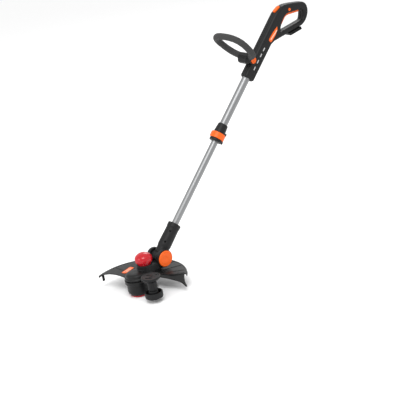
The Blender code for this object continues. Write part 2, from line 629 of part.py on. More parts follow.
def loop_handle_mesh(name):
    """A closed bent tube, narrower toward its hub."""
    count = 48
    sides = 10
    squareness = 2 / 2.6
    centres = []
    for step in range(count):
        angle = 2 * math.pi * step / count
        out, wide = math.cos(angle), math.sin(angle)
        along = LOOP_CENTRE + LOOP_HALF_LENGTH * math.copysign(abs(out) ** squareness, out)
        across = LOOP_HALF_WIDTH * math.copysign(abs(wide) ** squareness, wide)
        across *= 0.78 + 0.22 * (along - LOOP_CENTRE + LOOP_HALF_LENGTH) / (2 * LOOP_HALF_LENGTH)
        centres.append(LOOP_CENTRE_POINT + LOOP_OUT * along + LEFT * across)
    points = []
    for step in range(count):
        here = centres[step]
        forward = (centres[(step + 1) % count] - centres[step - 1]).normalized()
        outward = forward.cross(LOOP_NORMAL).normalized()
        for side in range(sides):
            turn = 2 * math.pi * side / sides
            points.append(here + LOOP_TUBE_R * (outward * math.cos(turn) + LOOP_NORMAL * math.sin(turn)))
    faces = []
    for step in range(count):
        after = (step + 1) % count
        for side in range(sides):
            beside = (side + 1) % sides
            faces.append((step * sides + side, step * sides + beside,
                          after * sides + beside, after * sides + side))
    return add_mesh(name, points, faces, SOFT)


loop_handle = loop_handle_mesh("loop_handle")
barrel = rod("loop_barrel", LOOP_BARREL_R, -LOOP_BARREL_HALF, LOOP_BARREL_HALF, LOOP_HUB, cutter=True,
             steps=ROUND)
LOOP = Frame(LOOP_CENTRE_POINT, LOOP_OUT, UP_TUBE * math.cos(tilt) - FORWARD * math.sin(tilt), LEFT)
web_outline = mm_points([(0, -5.2), (10, -17), (14, -25.5), (26, -26.5), (35, -17), (38, -6), (36, 8),
                         (12, 8), (0, 5.2)])
web = prism("loop_web", web_outline, [(-24 * MM, 3 * MM), (-21 * MM, 0), (21 * MM, 0), (24 * MM, 3 * MM)],
            LOOP, cutter=True)
join(loop_handle, barrel, web)
for side in (1, -1):
    span = sorted((side * (LOOP_BARREL_HALF), side * (EAR_OUTER + 4 * MM)))
    cut(loop_handle, rod("loop_ear_way_%d" % side, EAR_R + 0.6 * MM, span[0], span[1], LOOP_HUB, cutter=True,
                         steps=ROUND))
cut(loop_handle, rod("loop_bore", LOOP_AXLE_R + SLIDE, -0.03, 0.03, LOOP_HUB, cutter=True))
rod("loop_axle", LOOP_AXLE_R, -16.5 * MM, 15.6 * MM, LOOP_HUB, STEEL)
lathe("loop_button", [(0, 18.8 * MM), (LOOP_BUTTON_R, 18.8 * MM), (LOOP_BUTTON_R,
                                                                   LOOP_BUTTON_FACE - 1.6 * MM),
                      (LOOP_BUTTON_R - 1.6 * MM, LOOP_BUTTON_FACE), (0, LOOP_BUTTON_FACE)],
      LOOP_HUB, ORANGE, steps=32)

# ============================ lower housing =================================================
def yoke_half(name, side):
    """One half of the housing that joins the lower tube to the head pivot."""
    body = lathe(name, [(0, 6 * MM), (17 * MM, 6 * MM), (TONGUE_HALF - 0.3 * MM, 14 * MM),
                        (TONGUE_HALF - 0.3 * MM, 33 * MM), (YOKE_R, 42 * MM),
                        (YOKE_TOP_R + 0.6 * MM, 102 * MM), (YOKE_TOP_R + 0.6 * MM, 107 * MM),
                        (YOKE_TOP_R + 1.8 * MM, 110 * MM), (YOKE_TOP_R + 1.8 * MM, YOKE_LENGTH - 2 * MM),
                        (YOKE_TOP_R, YOKE_LENGTH), (0, YOKE_LENGTH)], SHAFT, BLACK)
    tongue = rod(name + "_tongue", TONGUE_R, -TONGUE_HALF, TONGUE_HALF, SIDE, cutter=True, steps=ROUND)
    join(body, tongue)
    bore_r = LOWER_TUBE_R + FIT
    bore_low = LOWER_TUBE_START - 1 * MM
    bore = lathe(name + "_bore", [(0, -5 * MM), (5 * MM, -5 * MM), (5 * MM, bore_low), (bore_r, bore_low),
                                  (bore_r, YOKE_LENGTH + 0.01), (0, YOKE_LENGTH + 0.01)], SHAFT, cutter=True)
    pin_way = rod(name + "_pin_way", PIVOT_PIN_R + SLIDE, -0.05, 0.05, SIDE, cutter=True)
    removed = (-0.05, SPLIT_GAP) if side > 0 else (-SPLIT_GAP, 0.05)
    other_side = block(name + "_other_side", -0.08, 0.08, removed[0], removed[1], -0.05, 0.2, 0, SHAFT,
                       cutter=True)
    cut(body, other_side, bore, pin_way)
    return body


yoke_left = yoke_half("yoke_left", 1)
yoke_right = yoke_half("yoke_right", -1)
for label, up in (("low", 52), ("high", 92)):
    spot = SIDE.moved(15.5 * MM, up * MM, 0)
    lathe("yoke_screw_" + label, [(0, 2 * MM), (SCREW_SHANK_R, 2 * MM), (SCREW_SHANK_R, 11 * MM),
                                  (SCREW_HEAD_R, 11 * MM), (SCREW_HEAD_R, 12.6 * MM), (1.3 * MM, 12.6 * MM),
                                  (1.3 * MM, 11.8 * MM), (0, 11.8 * MM)], spot, STEEL, steps=16)
    cut(yoke_left, rod("yoke_head_way_" + label, SCREW_HEAD_R + FIT, 10.7 * MM, 0.05, spot, cutter=True,
                       steps=16),
        rod("yoke_shank_way_" + label, SCREW_SHANK_R + 0.2 * MM, 1.4 * MM, 0.05, spot, cutter=True, steps=16))

rod("pivot_pin", PIVOT_PIN_R, -32 * MM, 30 * MM, SIDE, STEEL)
lathe("pivot_button", [(0, 35.6 * MM), (PIVOT_BUTTON_R, 35.6 * MM), (PIVOT_BUTTON_R,
                                                                     PIVOT_BUTTON_FACE - 2.4 * MM),
                       (PIVOT_BUTTON_R - 1.8 * MM, PIVOT_BUTTON_FACE - 0.4 * MM),
                       (PIVOT_BUTTON_R - 5 * MM, PIVOT_BUTTON_FACE), (0, PIVOT_BUTTON_FACE)],
      SIDE, ORANGE)

# ============================ motor head ====================================================
head_housing = lathe("head_housing", [
    (0, HEAD_BOTTOM), (HEAD_RIM_R - 0.8 * MM, HEAD_BOTTOM), (HEAD_RIM_R, HEAD_BOTTOM + 1 * MM),
    (HEAD_RIM_R, HEAD_BOTTOM + 5 * MM), (HEAD_RIM_R - 1 * MM, HEAD_BOTTOM + 6.2 * MM),
    (HEAD_R + 0.2 * MM, HEAD_BOTTOM + 6.8 * MM), (HEAD_R - 0.4 * MM, HEAD_TOP - 8 * MM),
    (HEAD_R - 3.6 * MM, HEAD_TOP - 3.5 * MM), (HEAD_R - 10.6 * MM, HEAD_TOP - 0.8 * MM),
    (HEAD_R - 20 * MM, HEAD_TOP), (0, HEAD_TOP)], HEAD, BLACK)
neck_outline = mm_points([(-34, 66), (-34, 88), (-40, 94), (-60, 94), (-84, 90), (-106, 78), (-106, 66)])
neck = prism("neck", neck_outline, [(-NECK_HALF_WIDTH, 3 * MM), (-NECK_HALF_WIDTH + 1.5 * MM, 1 * MM),
                                    (-NECK_HALF_WIDTH + 4 * MM, 0), (NECK_HALF_WIDTH - 4 * MM, 0),
                                    (NECK_HALF_WIDTH - 1.5 * MM, 1 * MM), (NECK_HALF_WIDTH, 3 * MM)],
             HEAD_SIDE, cutter=True)
PIVOT_Y = Frame(PIVOT, (1, 0, 0), (0, 0, 1), (0, 1, 0))
CHEEK_INNER = TONGUE_HALF + SLIDE
cheek_left = rod("cheek_left", CHEEK_LEFT_R, CHEEK_INNER - 3 * MM, CHEEK_OUTER, PIVOT_Y, cutter=True,
                 steps=ROUND, edge=1.2 * MM)
cheek_right = rod("cheek_right", CHEEK_RIGHT_R, -CHEEK_OUTER + 1 * MM, -CHEEK_INNER + 3 * MM, PIVOT_Y,
                  cutter=True, steps=ROUND, edge=2 * MM)
FEED = HEAD.moved(FEED_X, 0, 0)
collar = rod("feed_collar", FEED_STEM_R + 4.6 * MM, NECK_BOTTOM + 2 * MM, FEED_COLLAR_TOP, FEED,
             cutter=True, steps=ROUND)
join(head_housing, neck, cheek_left, cheek_right, collar)
room_r = HEAD_RIM_R - 3.6 * MM
motor_room = lathe("motor_room", [
    (0, HEAD_BOTTOM - 0.01), (room_r, HEAD_BOTTOM - 0.01), (room_r, HEAD_BOTTOM + 4.4 * MM),
    (HEAD_R - HEAD_WALL, HEAD_BOTTOM + 6.4 * MM), (HEAD_R - HEAD_WALL - 0.4 * MM, HEAD_TOP - 9 * MM),
    (HEAD_R - HEAD_WALL - 3.4 * MM, HEAD_TOP - 5.6 * MM), (HEAD_R - HEAD_WALL - 10 * MM, HEAD_TOP - 3.2 * MM),
    (0, HEAD_TOP - 2.6 * MM)], HEAD, cutter=True)
slot_outline = []
for degrees in range(0, 360, 6):
    turn = math.radians(degrees)
    reach = 46 * MM if 46 <= degrees <= 250 else TONGUE_R + 0.5 * MM
    slot_outline.append((reach * math.cos(turn), reach * math.sin(turn)))
tongue_slot = prism("tongue_slot", slot_outline, [(-CHEEK_INNER, 0), (CHEEK_INNER, 0)], PIVOT_Y, cutter=True)
well_r = FEED_STEM_R + 0.6 * MM
stem_low = FEED_COLLAR_TOP - 6 * MM
spring_r = FEED_SPRING_R + 2.2 * MM
well = lathe("feed_well", [(0, FEED_SPRING_BOTTOM - 0.3 * MM), (spring_r, FEED_SPRING_BOTTOM - 0.3 * MM),
                           (spring_r, stem_low - 4.6 * MM), (well_r, stem_low - 4.6 * MM),
                           (well_r, FEED_TOP + 0.02), (0, FEED_TOP + 0.02)], FEED, cutter=True)
cup_r = PIVOT_BUTTON_R + SLIDE
pin_r = PIVOT_PIN_R + 0.1 * MM
button_cup = lathe("button_cup", [(0, -32.4 * MM), (pin_r, -32.4 * MM), (pin_r, CHEEK_OUTER - 6 * MM),
                                  (cup_r, CHEEK_OUTER - 6 * MM), (cup_r, 0.06), (0, 0.06)], PIVOT_Y,
                                  cutter=True)
cut(head_housing, motor_room, tongue_slot, well, button_cup)

coil("feed_spring", FEED_SPRING_R, 0.7 * MM, FEED_SPRING_BOTTOM, stem_low - 0.3 * MM, 4, FEED, STEEL)
dome = [(0, stem_low), (FEED_STEM_R, stem_low), (FEED_STEM_R, FEED_BOTTOM - 0.6 * MM),
        (FEED_R - 5 * MM, FEED_BOTTOM), (FEED_R - 2 * MM, FEED_BOTTOM + 2 * MM),
        (FEED_R, FEED_BOTTOM + 8 * MM)]
dome_low = FEED_BOTTOM + 12 * MM
for step in range(8):
    rise = math.radians(step * 90 / 8)
    dome.append((FEED_R * math.cos(rise), dome_low + (FEED_TOP - dome_low) * math.sin(rise)))
dome.append((0, FEED_TOP))
lathe("feed_button", dome, FEED, RED)

ring("motor_base", room_r - 0.5 * MM, MOTOR_R + 0.5 * MM, HEAD_BOTTOM + 0.3 * MM, HEAD_BOTTOM + 3.4 * MM,
     HEAD, BLACK)
inner = MOTOR_R - MOTOR_SHELL
lathe("motor_can", [(4 * MM, MOTOR_BOTTOM), (MOTOR_R - 1 * MM, MOTOR_BOTTOM),
                    (MOTOR_R, MOTOR_BOTTOM + 1 * MM),
                    (MOTOR_R, MOTOR_TOP - 2 * MM), (MOTOR_R - 2 * MM, MOTOR_TOP), (0, MOTOR_TOP),
                    (0, MOTOR_TOP - MOTOR_SHELL), (inner - 1 * MM, MOTOR_TOP - MOTOR_SHELL),
                    (inner, MOTOR_TOP - MOTOR_SHELL - 1 * MM), (inner, MOTOR_BOTTOM + MOTOR_SHELL),
                    (4 * MM, MOTOR_BOTTOM + MOTOR_SHELL)], HEAD, STEEL, closed=True)
lathe("motor_rotor", [(MOTOR_SHAFT_R + 0.05 * MM, MOTOR_BOTTOM + 4 * MM), (inner - 1.4 * MM,
                                                                           MOTOR_BOTTOM + 4 * MM),
                      (inner - 1.4 * MM, MOTOR_TOP - 5 * MM), (MOTOR_SHAFT_R + 0.05 * MM,
                                                               MOTOR_TOP - 5 * MM)],
      HEAD, BRASS)
rod("motor_shaft", MOTOR_SHAFT_R, 37.4 * MM, MOTOR_TOP - 3 * MM, HEAD, STEEL)

# ============================ spool =========================================================
spool_in = SPOOL_R - SPOOL_WALL
floor_low = SPOOL_FLOOR - 3.2 * MM
spool_housing = lathe("spool_housing", [
    (MOTOR_SHAFT_R + FIT, SPOOL_FLOOR), (spool_in, SPOOL_FLOOR), (spool_in + 1 * MM, SPOOL_TOP - 0.6 * MM),
    (spool_in + 1.6 * MM, SPOOL_TOP), (SPOOL_RIM_R - 0.8 * MM, SPOOL_TOP), (SPOOL_RIM_R, SPOOL_TOP - 1 * MM),
    (SPOOL_RIM_R, SPOOL_TOP - SPOOL_RIM_HEIGHT + 2 * MM), (SPOOL_RIM_R - 1 * MM,
                                                           SPOOL_TOP - SPOOL_RIM_HEIGHT + 0.8 * MM),
    (SPOOL_R, SPOOL_TOP - SPOOL_RIM_HEIGHT), (SPOOL_R, SPOOL_BOTTOM + 11 * MM), (SPOOL_R - 3.2 * MM,
                                                                                 SPOOL_BOTTOM),
    (spool_in - 3.2 * MM, SPOOL_BOTTOM), (spool_in - 0.6 * MM, SPOOL_BOTTOM + 9.6 * MM),
    (spool_in - 0.6 * MM, floor_low),
    (MOTOR_SHAFT_R + FIT, floor_low)], HEAD, BLACK)
cap_r = spool_in - 3.7 * MM
lathe("spool_cap", [(0, 0), (CAP_FLAT_R, 0), (cap_r - 1.4 * MM, 1.4 * MM), (cap_r, 3.8 * MM),
                    (cap_r, 10.4 * MM), (cap_r - 2.2 * MM, 10.4 * MM), (cap_r - 2.2 * MM, 4.6 * MM),
                    (CAP_FLAT_R, 2.4 * MM), (0, 2.4 * MM)], HEAD, RED)
lathe("line_reel", [(REEL_HUB_R - 4 * MM, REEL_BOTTOM), (REEL_FLANGE_R, REEL_BOTTOM),
                    (REEL_FLANGE_R, REEL_BOTTOM + REEL_FLANGE), (REEL_HUB_R, REEL_BOTTOM + REEL_FLANGE),
                    (REEL_HUB_R, REEL_TOP - REEL_FLANGE), (REEL_FLANGE_R, REEL_TOP - REEL_FLANGE),
                    (REEL_FLANGE_R, REEL_TOP), (REEL_HUB_R - 4 * MM, REEL_TOP)], HEAD, GREY)
winding = [(REEL_HUB_R + FIT, REEL_BOTTOM + REEL_FLANGE + FIT)]
turns = 6
low = REEL_BOTTOM + REEL_FLANGE + FIT
pitch = (REEL_TOP - REEL_FLANGE - FIT - low) / turns
for turn in range(turns):
    base = low + pitch * turn
    winding += [(REEL_FLANGE_R - 4.6 * MM, base + 0.02 * MM), (REEL_FLANGE_R - 3.9 * MM, base + pitch * 0.5)]
winding += [(REEL_FLANGE_R - 4.6 * MM, REEL_TOP - REEL_FLANGE - FIT), (REEL_HUB_R + FIT,
                                                                       REEL_TOP - REEL_FLANGE - FIT)]
lathe("line_winding", winding, HEAD, LINE, steps=24)
coil("reel_spring", 8 * MM, 0.6 * MM, 3.0 * MM, REEL_BOTTOM - 0.4 * MM, 4, HEAD, STEEL)
nut_bore = MOTOR_SHAFT_R * 1.2
lathe("shaft_nut", [(nut_bore, 38.4 * MM), (5.6 * MM, 38.4 * MM), (5.6 * MM, floor_low - FIT),
                    (nut_bore, floor_low - FIT)], HEAD, STEEL, steps=6)
for side, label in ((1, "front"), (-1, "rear")):
    eye = Frame((0, 0, EYELET_Z), (0, 1, 0), (0, 0, 1), (side, 0, 0))
    ring("eyelet_" + label, EYELET_R, EYELET_R - 1.4 * MM, 34.8 * MM, SPOOL_R + 0.2 * MM, eye, STEEL,
         steps=16)
    cut(spool_housing, rod("eyelet_way_" + label, EYELET_R + FIT, 28 * MM, 60 * MM, eye, cutter=True,
                           steps=16))

# ============================ edging wheels =================================================
WHEEL = HEAD.moved(WHEEL_X, WHEEL_Y, 0)
low_z = LOWER_WHEEL_TOP - WHEEL_THICKNESS
axle_way = WHEEL_AXLE_R + SLIDE
low_r = LOWER_WHEEL_R
lathe("lower_wheel", [(axle_way, low_z + 1.5 * MM), (10 * MM, low_z + 1.5 * MM), (12 * MM, low_z),
                      (low_r - 4 * MM, low_z),
                      (low_r - 1 * MM, low_z + 2 * MM), (low_r, low_z + 5 * MM),
                      (low_r, LOWER_WHEEL_TOP - 4 * MM), (low_r - 1.6 * MM, LOWER_WHEEL_TOP),
                      (low_r - 4.4 * MM, LOWER_WHEEL_TOP), (low_r - 5.4 * MM, LOWER_WHEEL_TOP - 2 * MM),
                      (low_r - 6.4 * MM, low_z + 5 * MM), (9 * MM, low_z + 5 * MM),
                      (9 * MM, low_z + 9 * MM), (axle_way, low_z + 9 * MM)], WHEEL, BLACK)
top_z = UPPER_WHEEL_TOP
top_r = UPPER_WHEEL_R
upper_wheel = lathe("upper_wheel", [
    (axle_way, top_z - 17 * MM), (18 * MM, top_z - 17 * MM), (26 * MM, top_z - 13 * MM), (top_r - 1.4 * MM,
                                                                                          top_z - 7 * MM),
    (top_r, top_z - 4 * MM), (top_r - 1 * MM, top_z - 0.8 * MM), (top_r - 3 * MM, top_z),
    (top_r - 5.4 * MM, top_z), (top_r - 7 * MM, top_z - 1.6 * MM), (axle_way, top_z - 1.6 * MM)], WHEEL,
    BLACK)
for index, (x, y, length, width) in enumerate(((-9, -9.5, 24, 4.6), (-2, 15, 24, 4.6), (15, -14, 8, 6))):
    slot_turn = math.radians(121.7)
    slot_frame = Frame((0, 0, 0), (math.cos(slot_turn), math.sin(slot_turn), 0),
                       (math.sin(slot_turn), -math.cos(slot_turn), 0), (0, 0, 1))
    centre = WHEEL.origin + slot_frame.ex * x * MM + slot_frame.ey * y * MM
    slot_frame.origin = centre
    cut(upper_wheel, prism("upper_slot_%d" % index, oval(length * MM, width * MM, 12),
                           [(top_z - 7 * MM, 0), (top_z + 0.01, 0)], slot_frame, cutter=True))

arm_turn = math.atan2(WHEEL_Y, WHEEL_X)
arm_length = math.hypot(WHEEL_X, WHEEL_Y)
ARM = Frame((0, 0, 0), (math.cos(arm_turn), math.sin(arm_turn), 0), (-math.sin(arm_turn),
                                                                     math.cos(arm_turn), 0),
            (0, 0, 1))
neck_low = low_z + 10.5 * MM
neck_high = top_z - 18 * MM
wheel_bracket = lathe("wheel_bracket", [
    (axle_way, neck_low), (WHEEL_NECK_R - 1 * MM, neck_low), (WHEEL_NECK_R, neck_low + 1 * MM),
    (WHEEL_NECK_R, neck_low + 12 * MM), (WHEEL_NECK_R - 1.6 * MM, neck_low + 14 * MM),
    (WHEEL_NECK_R - 1.6 * MM, neck_low + 17 * MM), (WHEEL_NECK_R, neck_low + 19 * MM),
    (WHEEL_NECK_R, neck_high - 1 * MM), (WHEEL_NECK_R - 1 * MM, neck_high), (axle_way, neck_high)], WHEEL,
    BLACK)
arm_low = SPOOL_TOP + 0.8 * MM
arm = block("bracket_arm", HEAD_RIM_R + 1.2 * MM, arm_length - 10 * MM, -11 * MM, 11 * MM, arm_low,
            HEAD_BOTTOM + 7 * MM,
            0.8 * MM, ARM, cutter=True)
tongue = block("bracket_tongue", 34 * MM, arm_length - 12 * MM, -9.5 * MM, 9.5 * MM, arm_low,
               HEAD_BOTTOM - 0.4 * MM, 0, ARM,
               cutter=True)
band = ring("bracket_ring", HEAD_RIM_R - 3 * MM, MOTOR_R + 1 * MM, arm_low, HEAD_BOTTOM - 0.4 * MM, HEAD,
            cutter=True)
join(wheel_bracket, arm, tongue, band)
lathe("wheel_axle", [(0, low_z + 0.4 * MM), (6.5 * MM, low_z + 0.4 * MM), (6.5 * MM, low_z + 1.1 * MM),
                     (WHEEL_AXLE_R, low_z + 1.1 * MM), (WHEEL_AXLE_R, top_z - 2.2 * MM),
                     (0, top_z - 2.2 * MM)],
      WHEEL, STEEL, steps=20)
lathe("axle_cap", [(0, top_z - 1.3 * MM), (6.2 * MM, top_z - 1.3 * MM), (6.2 * MM, top_z - 0.6 * MM),
                   (5.4 * MM, top_z - 0.1 * MM), (0, top_z - 0.1 * MM)], WHEEL, BLACK, steps=20)

# ============================ guard =========================================================
GUARD = HEAD.moved(GUARD_X, GUARD_Y, 0)


def between(table, value):
    """Straight-line reading of a small table of (x, y) pairs."""
    if value <= table[0][0]:
        return table[0][1]
    for (xa, ya), (xb, yb) in zip(table, table[1:]):
        if value <= xb:
            return ya + (yb - ya) * (value - xa) / (xb - xa)
    return table[-1][1]


NEAR_EDGE = ((52, 152), (67, 150), (90, 140), (121, 134), (170, 135))
FAR_EDGE = ((52, 300), (75, 289), (110, 285), (140, 286), (170, 291))


def guard_drop(part, share):
    """How far the plate surface lies below its inner edge."""
    crown = 3.5 * MM * max(0.0, (part - 0.6) / 0.4) ** 2
    hang = GUARD_DROOP * max(0.0, (share - 0.55) / 0.45) ** 1.5 * part * part
    return crown + hang


def guard_mesh(name):
    """The fan-shaped plate with a turned-down rim."""
    spokes = 26
    stations = [(radius / MM, 0.0) for radius in
                [GUARD_INNER_R + (GUARD_R - 5 * MM - GUARD_INNER_R) * k / 7 for k in range(8)]]
    stations += [(GUARD_R / MM - 1.5, 3.0), (GUARD_R / MM, GUARD_SKIRT / MM)]
    thick = GUARD_THICKNESS
    points = []
    across = len(stations)
    for spoke in range(spokes + 1):
        share = spoke / spokes
        for radius, fall in stations:
            turn = math.radians(between(NEAR_EDGE, radius) * (1 - share) + between(FAR_EDGE, radius) * share)
            height = GUARD_TOP - guard_drop(radius * MM / GUARD_R, share) - fall * MM
            reach = radius * MM * (1 - (1 - share) * GUARD_NEAR_SHORT / GUARD_R)
            points.append(GUARD.at(reach * math.cos(turn), reach * math.sin(turn), height))
        for radius, fall in stations:
            turn = math.radians(between(NEAR_EDGE, radius) * (1 - share) + between(FAR_EDGE, radius) * share)
            height = GUARD_TOP - guard_drop(radius * MM / GUARD_R, share) - fall * MM
            pull = thick * (0.15 if fall == 0 else 0.95)
            low_r = radius * MM * (1 - (1 - share) * GUARD_NEAR_SHORT / GUARD_R) - pull
            points.append(GUARD.at(low_r * math.cos(turn), low_r * math.sin(turn),
                                   height - thick * (1.0 if fall < 5 else 0.1)))
    faces = []
    stride = 2 * across
    for spoke in range(spokes):
        here, there = spoke * stride, (spoke + 1) * stride
        for index in range(across - 1):
            faces.append((here + index, here + index + 1, there + index + 1, there + index))
            faces.append((here + across + index, there + across + index,
                          there + across + index + 1, here + across + index + 1))
        faces.append((here, there, there + across, here + across))
        end = across - 1
        faces.append((here + end, here + across + end, there + across + end, there + end))
    for base in (0, spokes * stride):
        for index in range(across - 1):
            faces.append((base + index, base + across + index, base + across + index + 1, base + index + 1))
    return add_mesh(name, points, faces, BLACK)


guard = guard_mesh("guard")
pad = block("guard_pad", -92 * MM, -50 * MM, -20 * MM, 20 * MM, GUARD_TOP - 2.4 * MM,
            NECK_BOTTOM - 0.3 * MM, 0.5 * MM, HEAD,
            cutter=True)
WALL_FROM = Vector((-62, 38, 57)) * MM           # where the end wall meets the plate, by the head
WALL_TO = Vector((-118, 117, 57)) * MM           # where it meets the plate, at the rim
WALL_TIP = Vector((-99, 143, 20)) * MM           # its lowest corner
wall_x = (WALL_TO - WALL_FROM).normalized()
wall_y = WALL_TIP - WALL_TO
wall_y = (wall_y - wall_x * wall_y.dot(wall_x)).normalized()
WALL = Frame(WALL_FROM, wall_x, wall_y, wall_x.cross(wall_y))
wall_outline = mm_points([(2, -2.4), (96, -2.4), (95, 14), (99, 30), (108, 46), (104, 49), (97, 43), (87, 34),
                          (66, 26), (36, 18), (4, 11)])
near_wall = prism("guard_near_wall", wall_outline, [(-1.6 * MM, 0), (1.4 * MM, 0)], WALL, cutter=True)
HOOK = GUARD.moved(162 * MM * math.cos(math.radians(286)), 162 * MM * math.sin(math.radians(286)), 0)
hook = block("guard_hook", -5 * MM, 5 * MM, -2 * MM, 2 * MM, 28 * MM, 56 * MM, 0.8 * MM, HOOK, cutter=True)
join(guard, pad, near_wall, hook)
for label, y in (("left", 13), ("right", -13)):
    spot = HEAD.moved(-66 * MM, y * MM, 0)
    lathe("guard_screw_" + label, [(0, GUARD_TOP - 3.6 * MM), (SCREW_HEAD_R, GUARD_TOP - 3.6 * MM),
                                   (SCREW_HEAD_R, GUARD_TOP - 1.6 * MM), (SCREW_SHANK_R,
                                                                          GUARD_TOP - 1.6 * MM),
                                   (SCREW_SHANK_R, NECK_BOTTOM + 8 * MM), (0, NECK_BOTTOM + 8 * MM)], spot,
                                   STEEL,
          steps=16)
    way = rod("guard_head_way_" + label, SCREW_HEAD_R + FIT, GUARD_TOP - 9 * MM, GUARD_TOP - 1.3 * MM, spot,
              cutter=True,
              steps=16)
    shank = rod("guard_shank_way_" + label, SCREW_SHANK_R + 0.2 * MM, GUARD_TOP - 9 * MM,
                NECK_BOTTOM + 8.4 * MM, spot,
                cutter=True, steps=16)
    cut(guard, way, shank)
    cut(head_housing, shank)

prism("line_blade", mm_points([(80, 12), (92, 18), (96, 30), (96, 39), (80, 27)]),
      [(1.8 * MM, 0), (3.0 * MM, 0)], WALL, STEEL)
BADGE_TURN = math.radians(196)
BADGE = Frame((-21 * MM, -82 * MM, 0), (math.cos(BADGE_TURN), math.sin(BADGE_TURN), 0),
              (-math.sin(BADGE_TURN), math.cos(BADGE_TURN), 0), (0, 0, 1))
prism("guard_badge", rectangle(-25 * MM, 25 * MM, -10 * MM, 10 * MM, 2 * MM),
      [(GUARD_TOP + 0.25 * MM, 0), (GUARD_TOP + 0.9 * MM, 0.3 * MM)], BADGE, ORANGE)
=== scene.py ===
"""String trimmer: fine surfaces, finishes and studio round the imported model."""

import json
import logging
import math
from dataclasses import dataclass, field
from enum import Enum
from typing import Sequence

import bmesh
import bpy
import numpy as np
from mathutils import Matrix, Vector
from mathutils.bvhtree import BVHTree


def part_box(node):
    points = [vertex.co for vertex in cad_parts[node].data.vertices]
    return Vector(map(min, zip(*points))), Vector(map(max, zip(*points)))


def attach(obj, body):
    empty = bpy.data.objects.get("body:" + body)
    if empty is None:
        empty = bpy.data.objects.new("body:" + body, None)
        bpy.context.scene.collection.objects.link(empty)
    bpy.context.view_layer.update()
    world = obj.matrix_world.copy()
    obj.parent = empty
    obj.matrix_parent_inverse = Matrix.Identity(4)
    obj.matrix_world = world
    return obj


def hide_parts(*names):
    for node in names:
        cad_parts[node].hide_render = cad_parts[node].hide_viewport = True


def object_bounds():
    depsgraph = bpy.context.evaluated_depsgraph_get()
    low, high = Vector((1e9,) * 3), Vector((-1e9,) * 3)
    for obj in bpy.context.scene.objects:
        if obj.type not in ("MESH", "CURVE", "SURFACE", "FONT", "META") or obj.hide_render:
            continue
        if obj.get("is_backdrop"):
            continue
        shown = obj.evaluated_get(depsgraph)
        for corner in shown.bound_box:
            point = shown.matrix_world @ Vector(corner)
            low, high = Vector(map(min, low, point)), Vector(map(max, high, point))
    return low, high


LOG = logging.getLogger("string_trimmer")
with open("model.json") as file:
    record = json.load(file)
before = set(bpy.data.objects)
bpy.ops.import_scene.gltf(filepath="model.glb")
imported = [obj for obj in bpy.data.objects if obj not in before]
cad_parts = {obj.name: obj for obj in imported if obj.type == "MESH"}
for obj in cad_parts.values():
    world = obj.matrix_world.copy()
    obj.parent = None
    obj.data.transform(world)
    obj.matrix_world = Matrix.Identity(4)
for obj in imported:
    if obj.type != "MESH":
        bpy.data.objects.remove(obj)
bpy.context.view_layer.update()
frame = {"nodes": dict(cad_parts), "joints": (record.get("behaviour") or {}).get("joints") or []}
MM = 0.001


# ---- geometry helpers -----------------------------------------------------------------------
@dataclass(frozen=True)
class Axes:
    """A local frame: an origin and three unit directions."""

    origin: np.ndarray
    x: np.ndarray
    y: np.ndarray
    z: np.ndarray

    def place(self, local: np.ndarray) -> np.ndarray:
        """Turn local coordinates into the object's frame.

        Args:
            local: points, with x, y and z along the last dimension.

        Returns:
            The same points in the object's frame.
        """
        return self.origin + local[..., :1] * self.x + local[..., 1:2] * self.y + local[..., 2:3] * self.z

    def moved(self, x: float, y: float, z: float) -> "Axes":
        """Return the same directions from another origin."""
        return Axes(self.place(np.array([x, y, z])), self.x, self.y, self.z)


def joint_point(name: str) -> np.ndarray:
    """Return a point on a joint's axis."""
    found = next(joint for joint in frame["joints"] if joint["name"] == name)
    return np.array(found["pos_m"], float)


def joint_axis(name: str) -> np.ndarray:
    """Return a joint's direction."""
    found = next(joint for joint in frame["joints"] if joint["name"] == name)
    return np.array(found["axis"], float)


LEFT = np.array([0.0, 1.0, 0.0])
UP_TUBE = joint_axis("shaft_twist") / np.linalg.norm(joint_axis("shaft_twist"))
FORWARD = np.cross(LEFT, UP_TUBE)
PIVOT = joint_point("head_pivot")
SHAFT = Axes(PIVOT, FORWARD, LEFT, UP_TUBE)
SPIN = Axes(np.zeros(3), np.array([1.0, 0, 0]), LEFT, np.array([0, 0, 1.0]))


def side_axes(point: np.ndarray) -> Axes:
    """Return axes at a point, with z to the operator's left."""
    return Axes(point, FORWARD, UP_TUBE, LEFT)


def grid_faces(rows: int, columns: int, wrap_rows: bool, wrap_columns: bool) -> np.ndarray:
    """List the four-sided faces of a grid of points.

    Args:
        rows: number of rows.
        columns: number of points in each row.
        wrap_rows: join the last row to the first.
        wrap_columns: join each row's last point to its first.

    Returns:
        One line of four point numbers for each face.
    """
    row, column = np.meshgrid(np.arange(rows if wrap_rows else rows - 1),
                              np.arange(columns if wrap_columns else columns - 1), indexing="ij")
    row_after = (row + 1) % rows
    column_after = (column + 1) % columns
    corners = [row * columns + column, row * columns + column_after,
               row_after * columns + column_after, row_after * columns + column]
    return np.stack(corners, -1).reshape(-1, 4)


